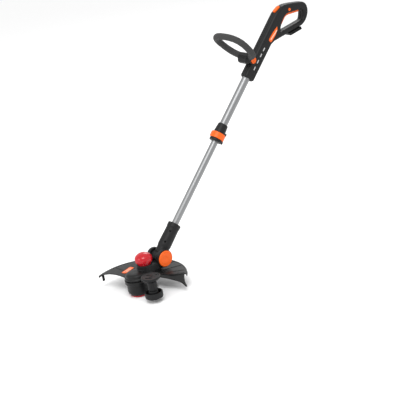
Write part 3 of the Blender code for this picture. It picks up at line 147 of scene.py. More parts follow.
def softened(profile: Sequence[Sequence[float]], radius: float, steps: int = 5,
             closed: bool = False) -> np.ndarray:
    """Round the corners of a profile, each with a short parabola between its two sides.

    Args:
        profile: corner points.
        radius: how far back from a corner its rounding starts.
        steps: points on each rounding.
        closed: whether the last corner joins the first.

    Returns:
        The rounded profile as an array of points.
    """
    corners = np.array(profile, float)
    rows = []
    for index, here in enumerate(corners):
        if not closed and index in (0, len(corners) - 1):
            rows.append(here[None, :])
            continue
        back = corners[index - 1] - here
        ahead = corners[(index + 1) % len(corners)] - here
        back_length, ahead_length = np.linalg.norm(back), np.linalg.norm(ahead)
        reach = min(radius, 0.45 * back_length, 0.45 * ahead_length)
        start, end = here + back / back_length * reach, here + ahead / ahead_length * reach
        share = np.linspace(0, 1, steps)[:, None]
        rows.append((1 - share) ** 2 * start + 2 * share * (1 - share) * here + share ** 2 * end)
    return np.vstack(rows)


def turned(profile: np.ndarray, axes: Axes, segments: int = 96, closed: bool = False,
           flutes: int = 0, flute_depth: float = 0.0, flute_span: tuple[float, float] = (0.0, 0.0)
           ) -> tuple[np.ndarray, np.ndarray]:
    """Turn a profile of (radius, height) about an axis; flutes are a cosine wave cut into the radius.

    Args:
        profile: points of (radius, height).
        axes: the axis is z.
        segments: steps round the axis.
        closed: whether the profile is a closed loop.
        flutes: number of shallow grooves round the outside.
        flute_depth: their depth.
        flute_span: lowest and highest height that has them.

    Returns:
        Points and faces.
    """
    turn = np.linspace(0, 2 * np.pi, segments, endpoint=False)[None, :]
    radius = np.repeat(profile[:, :1], segments, axis=1)
    height = np.repeat(profile[:, 1:2], segments, axis=1)
    if flutes:
        low, high = flute_span
        fade = np.clip((height - low) / (2 * MM), 0, 1) * np.clip((high - height) / (2 * MM), 0, 1)
        radius = radius - flute_depth * fade * (0.5 - 0.5 * np.cos(flutes * turn)) ** 3
    local = np.stack([radius * np.cos(turn), radius * np.sin(turn), height], -1)
    return axes.place(local).reshape(-1, 3), grid_faces(len(profile), segments, closed, True)


def carried(centres: np.ndarray, across: np.ndarray, upward: np.ndarray, outline: np.ndarray,
            closed: bool) -> tuple[np.ndarray, np.ndarray]:
    """Carry a closed outline along a path; an open path is closed by drawing each end in to its centre.

    Args:
        centres: the path's points.
        across: a unit direction at each point, for the outline's first coordinate.
        upward: a unit direction at each point, for its second coordinate.
        outline: the outline, or one outline for each point of the path.
        closed: whether the path is a closed loop.

    Returns:
        Points and faces.
    """
    shapes = np.broadcast_to(outline, (len(centres),) + outline.shape[-2:])
    points = (centres[:, None, :] + across[:, None, :] * shapes[..., :1] + upward[:, None, :] * shapes[...,
                                                                                                       1:2])
    if not closed:
        first = np.repeat(centres[:1, None, :], points.shape[1], axis=1)
        last = np.repeat(centres[-1:, None, :], points.shape[1], axis=1)
        points = np.concatenate([first, points, last])
    return points.reshape(-1, 3), grid_faces(points.shape[0], points.shape[1], closed, True)


def circle(radius: float, count: int = 24) -> np.ndarray:
    """Return a round outline."""
    turn = np.linspace(0, 2 * np.pi, count, endpoint=False)
    return radius * np.stack([np.cos(turn), np.sin(turn)], -1)


def long_oval(length: float, width: float, count: int = 32) -> np.ndarray:
    """Return a slot-shaped outline, longer along its first coordinate."""
    turn = np.linspace(0, 2 * np.pi, count, endpoint=False)
    half = (length - width) / 2
    return np.stack([width / 2 * np.cos(turn) + half * np.sign(np.cos(turn) + 1e-9),
                     width / 2 * np.sin(turn)], -1)


def stacked(outline: np.ndarray, levels: Sequence[tuple[float, float]], axes: Axes
            ) -> tuple[np.ndarray, np.ndarray]:
    """Stack scaled copies of an outline, closed at both ends.

    Args:
        outline: the outline's points.
        levels: (height, how far the outline is drawn in) for each level.
        axes: the outline lies across z.

    Returns:
        Points and faces.
    """
    reach = np.abs(outline).max(0)
    rows = [np.column_stack([outline * (1 - drawn / reach), np.full(len(outline), height)])
            for height, drawn in levels]
    rows.insert(0, rows[0] * np.array([0, 0, 1.0]))
    rows.append(rows[-1] * np.array([0, 0, 1.0]))
    return axes.place(np.array(rows)).reshape(-1, 3), grid_faces(len(rows), len(outline), False, True)


# ---- finishes -------------------------------------------------------------------------------
class Grain(Enum):
    """How a finish's fine relief lies."""

    MOULDED = "even spark-eroded texture"
    SMOOTH = "polished, with faint waviness"
    DRAWN = "fine lines along the tube"


@dataclass(frozen=True)
class Finish:
    """A surface finish and the node material that gives it."""

    name: str
    slot: str
    colour: tuple[float, float, float]
    roughness: float
    metallic: float = 0.0
    grain: Grain = Grain.MOULDED
    grain_size: float = 0.35 * MM
    relief: float = 0.12
    mottle: float = 0.12
    coat: float = 0.0
    specular: float = 0.5

    def material(self) -> bpy.types.Material:
        """Make the material once, and return it each time."""
        made = bpy.data.materials.get(self.name)
        if made:
            return made
        made = bpy.data.materials.new(self.name)
        made.use_nodes = True
        tree = made.node_tree
        shader = tree.nodes["Principled BSDF"]
        shader.inputs["Metallic"].default_value = self.metallic
        shader.inputs["Coat Weight"].default_value = self.coat
        shader.inputs["Coat Roughness"].default_value = 0.06
        shader.inputs["Specular IOR Level"].default_value = self.specular
        place = tree.nodes.new("ShaderNodeTexCoord").outputs["Object"]
        self._tint(tree, shader, place)
        self._polish(tree, shader, place)
        self._relief(tree, shader, place)
        return made

    def _noise(self, tree: bpy.types.NodeTree, place: bpy.types.NodeSocket, size: float,
               stretch: float = 1.0, detail: float = 3.0) -> bpy.types.NodeSocket:
        """Return a noise value of a given grain size, longer along the tubes when stretched."""
        mapping = tree.nodes.new("ShaderNodeMapping")
        mapping.inputs["Scale"].default_value = (1 / size, 1 / size, 1 / (size * stretch))
        if stretch != 1.0:
            lean = math.atan2(-UP_TUBE[0], UP_TUBE[2])
            turn = tree.nodes.new("ShaderNodeMapping")
            turn.inputs["Rotation"].default_value = (0, lean, 0)
            tree.links.new(place, turn.inputs["Vector"])
            place = turn.outputs["Vector"]
        tree.links.new(place, mapping.inputs["Vector"])
        noise = tree.nodes.new("ShaderNodeTexNoise")
        noise.inputs["Scale"].default_value = 1.0
        noise.inputs["Detail"].default_value = detail
        tree.links.new(mapping.outputs["Vector"], noise.inputs["Vector"])
        return noise.outputs["Fac"]

    def _tint(self, tree: bpy.types.NodeTree, shader: bpy.types.Node, place: bpy.types.NodeSocket) -> None:
        """Vary the colour a little over a few centimetres."""
        blend = tree.nodes.new("ShaderNodeMix")
        blend.data_type = "RGBA"
        dark = tuple(value * (1 - self.mottle) for value in self.colour)
        light = tuple(min(1.0, value * (1 + self.mottle) + 0.001) for value in self.colour)
        blend.inputs["A"].default_value = (*dark, 1)
        blend.inputs["B"].default_value = (*light, 1)
        tree.links.new(self._noise(tree, place, 22 * MM, detail=5.0), blend.inputs["Factor"])
        tree.links.new(blend.outputs["Result"], shader.inputs["Base Color"])

    def _polish(self, tree: bpy.types.NodeTree, shader: bpy.types.Node,
                place: bpy.types.NodeSocket) -> None:
        """Vary the roughness, as handling does."""
        span = tree.nodes.new("ShaderNodeMapRange")
        span.inputs["To Min"].default_value = max(0.03, self.roughness - 0.07)
        span.inputs["To Max"].default_value = min(1.0, self.roughness + 0.07)
        tree.links.new(self._noise(tree, place, 9 * MM, detail=4.0), span.inputs["Value"])
        tree.links.new(span.outputs["Result"], shader.inputs["Roughness"])

    def _relief(self, tree: bpy.types.NodeTree, shader: bpy.types.Node,
                place: bpy.types.NodeSocket) -> None:
        """Add the fine relief of the mould, the die or the lathe."""
        stretch = 60.0 if self.grain is Grain.DRAWN else 1.0
        size = self.grain_size * (8 if self.grain is Grain.SMOOTH else 1)
        bump = tree.nodes.new("ShaderNodeBump")
        bump.inputs["Strength"].default_value = self.relief
        bump.inputs["Distance"].default_value = 0.1 * MM
        tree.links.new(self._noise(tree, place, size, stretch), bump.inputs["Height"])
        tree.links.new(bump.outputs["Normal"], shader.inputs["Normal"])


CHARCOAL = Finish("charcoal_moulding", "charcoal_plastic", (0.0085, 0.0087, 0.0092), 0.47, relief=0.3,
                  specular=0.22)
SATIN_BLACK = Finish("satin_black_moulding", "charcoal_plastic", (0.0075, 0.0076, 0.0079), 0.38,
                     relief=0.14,
                     specular=0.22)
GUARD_PLASTIC = Finish("guard_plastic", "charcoal_plastic", (0.0085, 0.0087, 0.009), 0.42, relief=0.2,
                       specular=0.24)
GREY = Finish("grey_moulding", "grey_plastic", (0.1, 0.1, 0.105), 0.5)
# pale grey for the side slots: a painted highlight standing in for the slots' reflection, not a grey part
PAINTED_SLOT_HIGHLIGHT = Finish("painted_slot_highlight_grey", "grey_plastic", (0.5, 0.5, 0.505), 0.45, mottle=0.05, relief=0.08)
GRIP_RUBBER = Finish("grip_rubber", "grip_rubber", (0.008, 0.0082, 0.0086), 0.58, relief=0.4,
                     grain_size=0.7 * MM, specular=0.22)
ORANGE = Finish("orange_moulding", "orange_plastic", (0.8, 0.115, 0.006), 0.4, mottle=0.05, relief=0.1,
                specular=0.3)
PALE_INLAY = Finish("pale_inlay", "orange_plastic", (0.8, 0.5, 0.36), 0.4, mottle=0.05, relief=0.08,
                    specular=0.3)
RED_GLOSS = Finish("red_gloss", "red_plastic", (0.43, 0.003, 0.01), 0.14, grain=Grain.SMOOTH, relief=0.05,
                   mottle=0.06, coat=0.25, specular=0.3)
DRAWN_TUBE = Finish("drawn_aluminium", "tube_aluminium", (0.27, 0.274, 0.278), 0.44, 1.0, Grain.DRAWN,
                    0.25 * MM, 0.18, 0.06)
STEEL = Finish("bright_steel", "steel", (0.5, 0.5, 0.52), 0.3, 1.0, Grain.SMOOTH, 0.2 * MM, 0.08, 0.06)
BLACKED_STEEL = Finish("blackened_steel", "steel", (0.05, 0.05, 0.053), 0.36, 1.0, Grain.SMOOTH, 0.2 * MM,
                       0.08, 0.06)
BRASS = Finish("plain_brass", "brass", (0.72, 0.5, 0.2), 0.34, 1.0, Grain.SMOOTH, 0.2 * MM, 0.08, 0.08)
BOARD = Finish("board_green", "circuit_board", (0.015, 0.13, 0.055), 0.45, grain=Grain.SMOOTH)
LINE = Finish("nylon_line", "nylon_line", (0.72, 0.26, 0.04), 0.38, grain=Grain.SMOOTH, coat=0.2)


# ---- making pieces --------------------------------------------------------------------------
def finished(piece: bpy.types.Object, body: str, finish: Finish, stands_for: Sequence[str] = (),
             sharp: float = 38.0) -> bpy.types.Object:
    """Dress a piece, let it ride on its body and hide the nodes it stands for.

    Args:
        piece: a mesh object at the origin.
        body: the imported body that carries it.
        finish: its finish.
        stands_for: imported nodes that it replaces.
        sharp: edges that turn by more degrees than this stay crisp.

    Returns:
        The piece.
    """
    piece.data.materials.clear()
    piece.data.materials.append(finish.material())
    piece.data.shade_smooth()
    piece.data.set_sharp_from_angle(angle=math.radians(sharp))
    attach(piece, body)
    if stands_for:
        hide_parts(*stands_for)
    LOG.info("%s: %d faces on %s", piece.name, len(piece.data.polygons), body)
    return piece


def surface(name: str, made: tuple[np.ndarray, np.ndarray]) -> bpy.types.Object:
    """Put points and faces into a mesh object, with seams and poles closed and faces outward.

    Args:
        name: the object's name.
        made: its points and faces.

    Returns:
        The new object.
    """
    points, faces = made
    mesh = bpy.data.meshes.new(name)
    mesh.from_pydata(points.tolist(), [], faces.tolist())
    work = bmesh.new()
    work.from_mesh(mesh)
    bmesh.ops.remove_doubles(work, verts=work.verts, dist=1e-7)
    bmesh.ops.recalc_face_normals(work, faces=work.faces)
    work.to_mesh(mesh)
    work.free()
    piece = bpy.data.objects.new(name, mesh)
    bpy.context.scene.collection.objects.link(piece)
    return piece


def applied(piece: bpy.types.Object) -> None:
    """Replace a piece's mesh by what its modifiers make of it."""
    shown = piece.evaluated_get(bpy.context.evaluated_depsgraph_get())
    mesh = bpy.data.meshes.new_from_object(shown)
    piece.modifiers.clear()
    piece.data = mesh


def carved(piece: bpy.types.Object, *shapes: tuple[np.ndarray, np.ndarray]) -> bpy.types.Object:
    """Cut closed shapes out of a piece.

    Args:
        piece: the piece to cut.
        shapes: points and faces of each shape to take away.

    Returns:
        The piece.
    """
    for index, shape in enumerate(shapes):
        tool = surface(piece.name + "_tool_%d" % index, shape)
        cut = piece.modifiers.new("cut", "BOOLEAN")
        cut.operation = "DIFFERENCE"
        cut.object = tool
        applied(piece)
        bpy.data.objects.remove(tool, do_unlink=True)
    return piece


def refined(node: str, body: str, finish: Finish, grid: float, passes: int) -> bpy.types.Object:
    """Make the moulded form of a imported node: an even skin over it, with its edges eased.

    Args:
        node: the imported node.
        body: its body.
        finish: its finish.
        grid: size of the skin's faces.
        passes: how many times the skin is relaxed, which rounds its edges.

    Returns:
        The new piece, which stands for the node.
    """
    piece = bpy.data.objects.new("fine_" + node, frame["nodes"][node].data.copy())
    bpy.context.scene.collection.objects.link(piece)
    work = bmesh.new()
    work.from_mesh(piece.data)
    bmesh.ops.remove_doubles(work, verts=work.verts, dist=1e-7)
    work.to_mesh(piece.data)
    work.free()
    skin = piece.modifiers.new("skin", "REMESH")
    skin.mode = "VOXEL"
    skin.voxel_size = grid
    ease = piece.modifiers.new("ease", "SMOOTH")
    ease.factor = 0.5
    ease.iterations = passes
    applied(piece)
    return finished(piece, body, finish, (node,), sharp=180.0)


# ---- sub-assemblies -------------------------------------------------------------------------
@dataclass
class Tubes:
    """The two aluminium tubes, one sliding in the other."""

    upper_radius: float = 14.0 * MM
    upper_wall: float = 1.0 * MM
    upper_span: tuple[float, float] = (458.3 * MM, 848 * MM)
    lower_radius: float = 12.0 * MM
    lower_wall: float = 1.2 * MM
    lower_span: tuple[float, float] = (40 * MM, 620 * MM)

    def build(self) -> None:
        """Turn both tubes and dress them."""
        for name, body, radius, wall, (low, high) in (
                ("upper_tube", "handle", self.upper_radius, self.upper_wall, self.upper_span),
                ("lower_tube", "lower_shaft", self.lower_radius, self.lower_wall, self.lower_span)):
            loop = softened([(radius, low), (radius, high), (radius - wall, high), (radius - wall, low)],
                            0.3 * MM, closed=True)
            finished(surface("drawn_" + name, turned(loop, SHAFT, 96, True)), body, DRAWN_TUBE, (name,))


@dataclass
class Clamp:
    """The clamp that holds the tubes, with its swinging lever."""

    lever_radius: float = 25.6 * MM
    rib_heights: tuple[float, ...] = (461.9 * MM, 466.4 * MM, 470.9 * MM)
    rib_span: tuple[float, float] = (-34.0, 24.0)
    rib_radius: float = 0.8 * MM

    def build(self) -> None:
        """Refine the clamp and lever, and add the lever's finger ribs."""
        refined("clamp_body", "handle", CHARCOAL, 0.7 * MM, 8)
        refined("clamp_lever", "clamp_lever", ORANGE, 0.6 * MM, 8)
        turn = np.radians(np.linspace(*self.rib_span, 40))
        outward = SHAFT.place(np.stack([np.cos(turn), np.sin(turn), 0 * turn], -1)) - SHAFT.origin
        for index, height in enumerate(self.rib_heights):
            centres = SHAFT.origin + UP_TUBE * height + outward * self.lever_radius
            swell = np.sin(np.linspace(0.12, np.pi - 0.12, len(turn))) ** 0.4
            outline = circle(self.rib_radius, 12)[None] * swell[:, None, None]
            rib = surface("lever_rib_%d" % index,
                          carried(centres, outward, np.tile(UP_TUBE, (len(turn), 1)), outline, False))
            finished(rib, "clamp_lever", ORANGE)


@dataclass
class LowerHousing:
    """The two shell halves between the lower tube and the head pivot."""

    def build(self) -> None:
        """Refine both halves and their screws."""
        for node in ("yoke_left", "yoke_right"):
            refined(node, "lower_shaft", CHARCOAL, 0.8 * MM, 12)
        for node in ("yoke_screw_low", "yoke_screw_high"):
            refined(node, "lower_shaft", BLACKED_STEEL, 0.25 * MM, 2)


@dataclass
class MotorHead:
    """The motor housing, its dome, the pivot button and the feed button."""

    bottom: float = 61 * MM
    top: float = 82 * MM
    rim_radius: float = 41.2 * MM
    dome_radius: float = 37.25 * MM
    button_radius: float = 28.1 * MM
    button_back: float = 37 * MM
    button_face: float = 42 * MM
    feed_x: float = -40 * MM
    feed_radius: float = 30.8 * MM
    feed_stem: float = 22.5 * MM
    feed_low: float = 92.4 * MM
    spring_way: float = 9 * MM
    feed_rim: float = 103 * MM
    feed_top: float = 137.5 * MM

    def build(self) -> None:
        """Build every visible piece of the head."""
        refined("head_housing", "head", CHARCOAL, 1.0 * MM, 14)
        self._dome()
        self._pivot_button()
        self._feed_button()

    def _dome(self) -> None:
        """Turn the thin outer dome over the motor, with its rim band."""
        radius, low, top = self.dome_radius, self.bottom, self.top
        outer = [(self.rim_radius - 1.6 * MM, low - 0.05 * MM), (self.rim_radius, low - 0.05 * MM),
                 (self.rim_radius, low + 5 * MM), (radius + 0.8 * MM, low + 6.6 * MM),
                 (radius, low + 7.4 * MM),
                 (radius - 0.2 * MM, top - 8 * MM), (radius - 3.4 * MM, top - 3.2 * MM),
                 (radius - 10.4 * MM, top - 0.5 * MM), (radius - 20 * MM, top + 0.3 * MM),
                 (0, top + 0.4 * MM)]
        inner = [(0, top - 0.8 * MM), (radius - 12 * MM, top - 1.8 * MM), (radius - 4.8 * MM, top - 5 * MM),
                 (radius - 1.4 * MM, top - 9 * MM), (radius - 1.4 * MM, low + 6.4 * MM),
                 (self.rim_radius - 1.6 * MM, low + 4.6 * MM)]
        profile = softened(outer + inner, 2.2 * MM, 6, closed=True)
        finished(surface("motor_dome", turned(profile, SPIN, 128, True)), "head", SATIN_BLACK)

    def _pivot_button(self) -> None:
        """Turn the round release button at the head pivot, with a ring groove and a raised centre."""
        radius, back, face = self.button_radius, self.button_back, self.button_face
        profile = softened([(0, back), (radius - 1.2 * MM, back), (radius, back + 1 * MM),
                            (radius, face - 2.4 * MM), (radius - 2.0 * MM, face - 0.3 * MM),
                            (radius - 5 * MM, face), (radius - 6 * MM, face - 0.9 * MM),
                            (radius - 7.2 * MM, face - 0.9 * MM), (radius - 8.2 * MM, face),
                            (8 * MM, face - 0.5 * MM),
                            (6.6 * MM, face - 1.2 * MM), (0, face - 1.3 * MM)], 0.8 * MM)
        finished(surface("round_pivot_button", turned(profile, side_axes(PIVOT), 112)), "pivot_button",
                 ORANGE,
                 ("pivot_button",))

    def _feed_button(self) -> None:
        """Turn the red feed button: a stem and an egg-shaped dome with a fine parting groove."""
        radius, rim, top = self.feed_radius, self.feed_rim, self.feed_top
        middle = rim + 12 * MM
        rise = np.linspace(0, np.pi / 2, 28)
        dome = np.column_stack([radius * np.cos(rise), middle + (top - middle) * np.sin(rise)])
        skirt = softened([(0, self.feed_low + 5 * MM), (self.spring_way, self.feed_low + 5 * MM),
                          (self.spring_way, self.feed_low), (self.feed_stem - 1.2 * MM, self.feed_low),
                          (self.feed_stem, self.feed_low + 1.2 * MM), (self.feed_stem, rim - 0.6 * MM),
                          (radius - 5 * MM, rim), (radius - 2 * MM, rim + 2 * MM), (radius - 0.1 * MM,
                                                                                    rim + 7.2 * MM),
                          (radius - 0.8 * MM, rim + 7.7 * MM), (radius - 0.8 * MM, rim + 8.3 * MM),
                          (radius, rim + 8.8 * MM), (radius, middle - 0.5 * MM)], 0.8 * MM)
        profile = np.vstack([skirt, dome])
        finished(surface("red_feed_button", turned(profile, SPIN.moved(self.feed_x, 0, 0), 128)),
                 "feed_button",
                 RED_GLOSS, ("feed_button",))


@dataclass
class Spool:
    """The spool cup with its rim band, the red cap and the line holes."""

    radius: float = 39 * MM
    inside: float = 36.5 * MM
    rim_radius: float = 43.2 * MM
    rim_height: float = 13 * MM
    bottom: float = 7 * MM
    top: float = 58 * MM
    floor: float = 46.5 * MM
    floor_low: float = 43.3 * MM
    shaft: float = 2.8 * MM
    cap_flat: float = 27.5 * MM
    cap_radius: float = 32.8 * MM
    hole_height: float = 11.5 * MM
    hole_radius: float = 3.3 * MM

    def build(self) -> None:
        """Build the cup and the cap, and refine the line holes' eyelets."""
        low_band = self.top - self.rim_height
        loop = softened([
            (self.shaft, self.floor), (self.inside, self.floor), (self.inside + 1 * MM,
                                                                  self.top - 0.6 * MM),
            (self.inside + 1.6 * MM, self.top), (self.rim_radius - 0.6 * MM, self.top),
            (self.rim_radius, self.top - 1 * MM), (self.rim_radius, low_band + 1.6 * MM),
            (self.rim_radius - 1 * MM, low_band + 0.6 * MM), (self.radius, low_band),
            (self.radius, self.bottom + 12 * MM), (self.radius - 0.9 * MM, self.bottom + 8 * MM),
            (self.radius - 3.2 * MM, self.bottom), (self.inside - 3.2 * MM, self.bottom),
            (self.inside - 0.6 * MM, self.bottom + 9.6 * MM), (self.inside - 0.6 * MM, self.floor_low),
            (self.shaft, self.floor_low)], 0.8 * MM, closed=True)
        cup = surface("spool_cup", turned(loop, SPIN, 144, True, 24, 0.5 * MM,
                                          (self.bottom + 13 * MM, low_band - 1.5 * MM)))
        holes = []
        for side in (1.0, -1.0):
            across = Axes(np.array([0, 0, self.hole_height]), LEFT, np.array([0, 0, 1.0]),
                          np.array([side, 0, 0]))
            profile = np.array([(0, 28 * MM), (self.hole_radius, 28 * MM), (self.hole_radius, 48 * MM),
                                (0, 48 * MM)])
            holes.append(turned(profile, across, 32))
        finished(carved(cup, *holes), "spool", SATIN_BLACK, ("spool_housing",))
        cap = softened([(0, 0), (self.cap_flat, 0), (self.cap_radius - 1.4 * MM, 1.4 * MM),
                        (self.cap_radius, 3.8 * MM), (self.cap_radius, 10.4 * MM),
                        (self.cap_radius - 2.2 * MM, 10.4 * MM), (self.cap_radius - 2.2 * MM, 4.6 * MM),
                        (self.cap_flat, 2.4 * MM), (0, 2.4 * MM)], 1.4 * MM)
        finished(surface("red_spool_cap", turned(cap, SPIN, 112)), "spool", RED_GLOSS, ("spool_cap",))
        for node in ("eyelet_front", "eyelet_rear"):
            refined(node, "spool", STEEL, 0.25 * MM, 2)


@dataclass
class EdgingWheels:
    """The two plastic wheels on one axle, and the bracket that holds it."""

    upper_radius: float = 34 * MM
    upper_top: float = 91.5 * MM
    lower_radius: float = 31 * MM
    lower_top: float = 35.2 * MM
    lower_thickness: float = 21.8 * MM
    bore: float = 4.4 * MM
    slot_turn: float = 121.7
    slots: tuple[tuple[float, float, float, float], ...] = (
        (-9 * MM, -9.5 * MM, 24 * MM, 4.6 * MM), (-2 * MM, 15 * MM, 24 * MM, 4.6 * MM),
        (15 * MM, -14 * MM, 8 * MM, 6 * MM))
    axis: Axes = field(default_factory=lambda: SPIN.moved(*(joint_point("upper_wheel_spin") * [1, 1, 0])))

    def build(self) -> None:
        """Build both wheels and refine the bracket."""
        refined("wheel_bracket", "head", CHARCOAL, 0.8 * MM, 10)
        self._upper()
        self._lower()

    def _upper(self) -> None:
        """Turn the upper wheel and cut its slots."""
        top, radius = self.upper_top, self.upper_radius
        loop = softened([
            (self.bore, top - 17 * MM), (18 * MM, top - 17 * MM), (26 * MM, top - 13 * MM),
            (radius - 1.4 * MM, top - 7 * MM), (radius, top - 4 * MM), (radius - 1 * MM, top - 0.8 * MM),
            (radius - 3 * MM, top), (radius - 5.4 * MM, top), (radius - 7 * MM, top - 1.6 * MM),
            (self.bore, top - 1.6 * MM)], 1.2 * MM, closed=True)
        wheel = surface("upper_edging_wheel", turned(loop, self.axis, 144, True, 36, 0.5 * MM,
                                                     (top - 6.4 * MM, top - 0.6 * MM)))
        turn = math.radians(self.slot_turn)
        along = np.array([math.cos(turn), math.sin(turn), 0])
        across = np.array([math.sin(turn), -math.cos(turn), 0])
        cuts = []
        for x, y, length, width in self.slots:
            place = Axes(self.axis.origin + along * x + across * y, along, across, np.array([0, 0, 1.0]))
            cuts.append(stacked(long_oval(length, width), [(top - 7 * MM, 0), (top + 2 * MM, 0)], place))
        finished(carved(wheel, *cuts), "upper_wheel", CHARCOAL, ("upper_wheel",))

    def _lower(self) -> None:
        """Turn the lower wheel, open at the top like a pulley, with its tyre ribs."""
        top, radius = self.lower_top, self.lower_radius
        low = top - self.lower_thickness
        loop = softened([
            (self.bore, low + 1.5 * MM), (10 * MM, low + 1.5 * MM), (12 * MM, low), (radius - 4 * MM, low),
            (radius - 1 * MM, low + 2 * MM), (radius, low + 5 * MM), (radius, top - 4 * MM),
            (radius - 1.6 * MM, top), (radius - 4.4 * MM, top), (radius - 5.4 * MM, top - 2 * MM),
            (radius - 6.4 * MM, low + 5 * MM), (9 * MM, low + 5 * MM), (9 * MM, low + 9 * MM),
            (self.bore, low + 9 * MM)], 1.2 * MM, closed=True)
        wheel = surface("lower_edging_wheel", turned(loop, self.axis, 144, True, 30, 0.6 * MM,
                                                     (low + 4 * MM, top - 3.4 * MM)))
        finished(wheel, "lower_wheel", CHARCOAL, ("lower_wheel",))


@dataclass
class Guard:
    """The half guard with its stiffening ribs, badge and screws."""

    centre: tuple[float, float] = (-4 * MM, 6 * MM)
    rib_angles: tuple[float, ...] = (146.0, 163.0, 182.0, 203.0, 224.0, 245.0, 266.0)
    rib_span: tuple[float, float] = (88 * MM, 156 * MM)
    rib_width: float = 1.5 * MM
    rib_height: float = 1.1 * MM
    ring_radii: tuple[float, ...] = (84 * MM, 160 * MM)
    ring_span: tuple[float, float] = (146.0, 272.0)
    badge_length: float = 50 * MM
    badge_width: float = 20 * MM
    badge_turn: float = 196.0
    badge_centre: tuple[float, float] = (-21 * MM, -82 * MM)

    def build(self) -> None:
        """Refine the guard and add ribs, badge and screws."""
        plate = refined("guard", "head", GUARD_PLASTIC, 1.05 * MM, 5)
        self.tree = BVHTree.FromObject(plate, bpy.context.evaluated_depsgraph_get())
        for index, angle in enumerate(self.rib_angles):
            reach = np.linspace(*self.rib_span, 40)
            turn = np.full(40, math.radians(angle))
            self._rib("guard_rib_%d" % index, reach, turn)
        for index, radius in enumerate(self.ring_radii):
            turn = np.radians(np.linspace(*self.ring_span, 120))
            self._rib("guard_ring_%d" % index, np.full(120, radius), turn)
        self._badge()
        for node in ("guard_screw_left", "guard_screw_right"):
            refined(node, "head", BLACKED_STEEL, 0.25 * MM, 2)
        refined("line_blade", "head", STEEL, 0.3 * MM, 1)

    def _rib(self, name: str, reach: np.ndarray, turn: np.ndarray) -> None:
        """Lay a low half-round rib on the plate, along a line of distances and angles."""
        flat = np.stack([self.centre[0] + reach * np.cos(turn), self.centre[1] + reach * np.sin(turn)], -1)
        rows = []
        for x, y in flat:
            hit = self.tree.ray_cast(Vector((x, y, 0.075)), Vector((0, 0, -1)))[0]
            if hit is not None and hit.z > 0.045:
                rows.append((x, y, hit.z))
        if len(rows) < 4:
            return
        centres = np.array(rows)
        ahead = np.gradient(centres, axis=0)
        ahead /= np.linalg.norm(ahead, axis=1)[:, None]
        upward = np.tile([0, 0, 1.0], (len(centres), 1))
        across = np.cross(ahead, upward)
        outline = circle(1.0, 12) * [self.rib_width / 2, self.rib_height]
        finished(surface(name, carried(centres, across, upward, outline, False)), "head", GUARD_PLASTIC)

    def _badge(self) -> None:
        """Make the plain orange plate with a raised border, where a name would be."""
        turn = math.radians(self.badge_turn)
        along = np.array([math.cos(turn), math.sin(turn), 0])
        low, high = (corner.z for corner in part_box("guard_badge"))
        place = Axes(np.array([*self.badge_centre, 0]), along, np.cross([0, 0, 1.0], along),
                     np.array([0, 0, 1.0]))
        angle = np.linspace(0, 2 * np.pi, 96, endpoint=False)
        power = 2 / 7
        outline = np.stack([self.badge_length / 2 * np.sign(np.cos(angle)) * np.abs(np.cos(angle)) ** power,
                            self.badge_width / 2 * np.sign(np.sin(angle)) * np.abs(np.sin(angle)) ** power],
                            -1)
        levels = [(low, 0), (high - 0.2 * MM, 0), (high, 0.3 * MM), (high, 1.4 * MM), (high - 0.35 * MM,
                                                                                       1.8 * MM)]
        finished(surface("plain_badge", stacked(outline, levels, place)), "head", ORANGE, ("guard_badge",))
        for index, (reach, length) in enumerate(((3.6 * MM, 38 * MM), (-3.6 * MM, 30 * MM))):
            levels = [(high - 0.6 * MM, 0), (high - 0.1 * MM, 0), (high + 0.05 * MM, 0.2 * MM)]
            bar = surface("badge_bar_%d" % index,
                          stacked(long_oval(length, 3 * MM), levels, place.moved(0, reach, 0)))
            finished(bar, "head", PALE_INLAY)


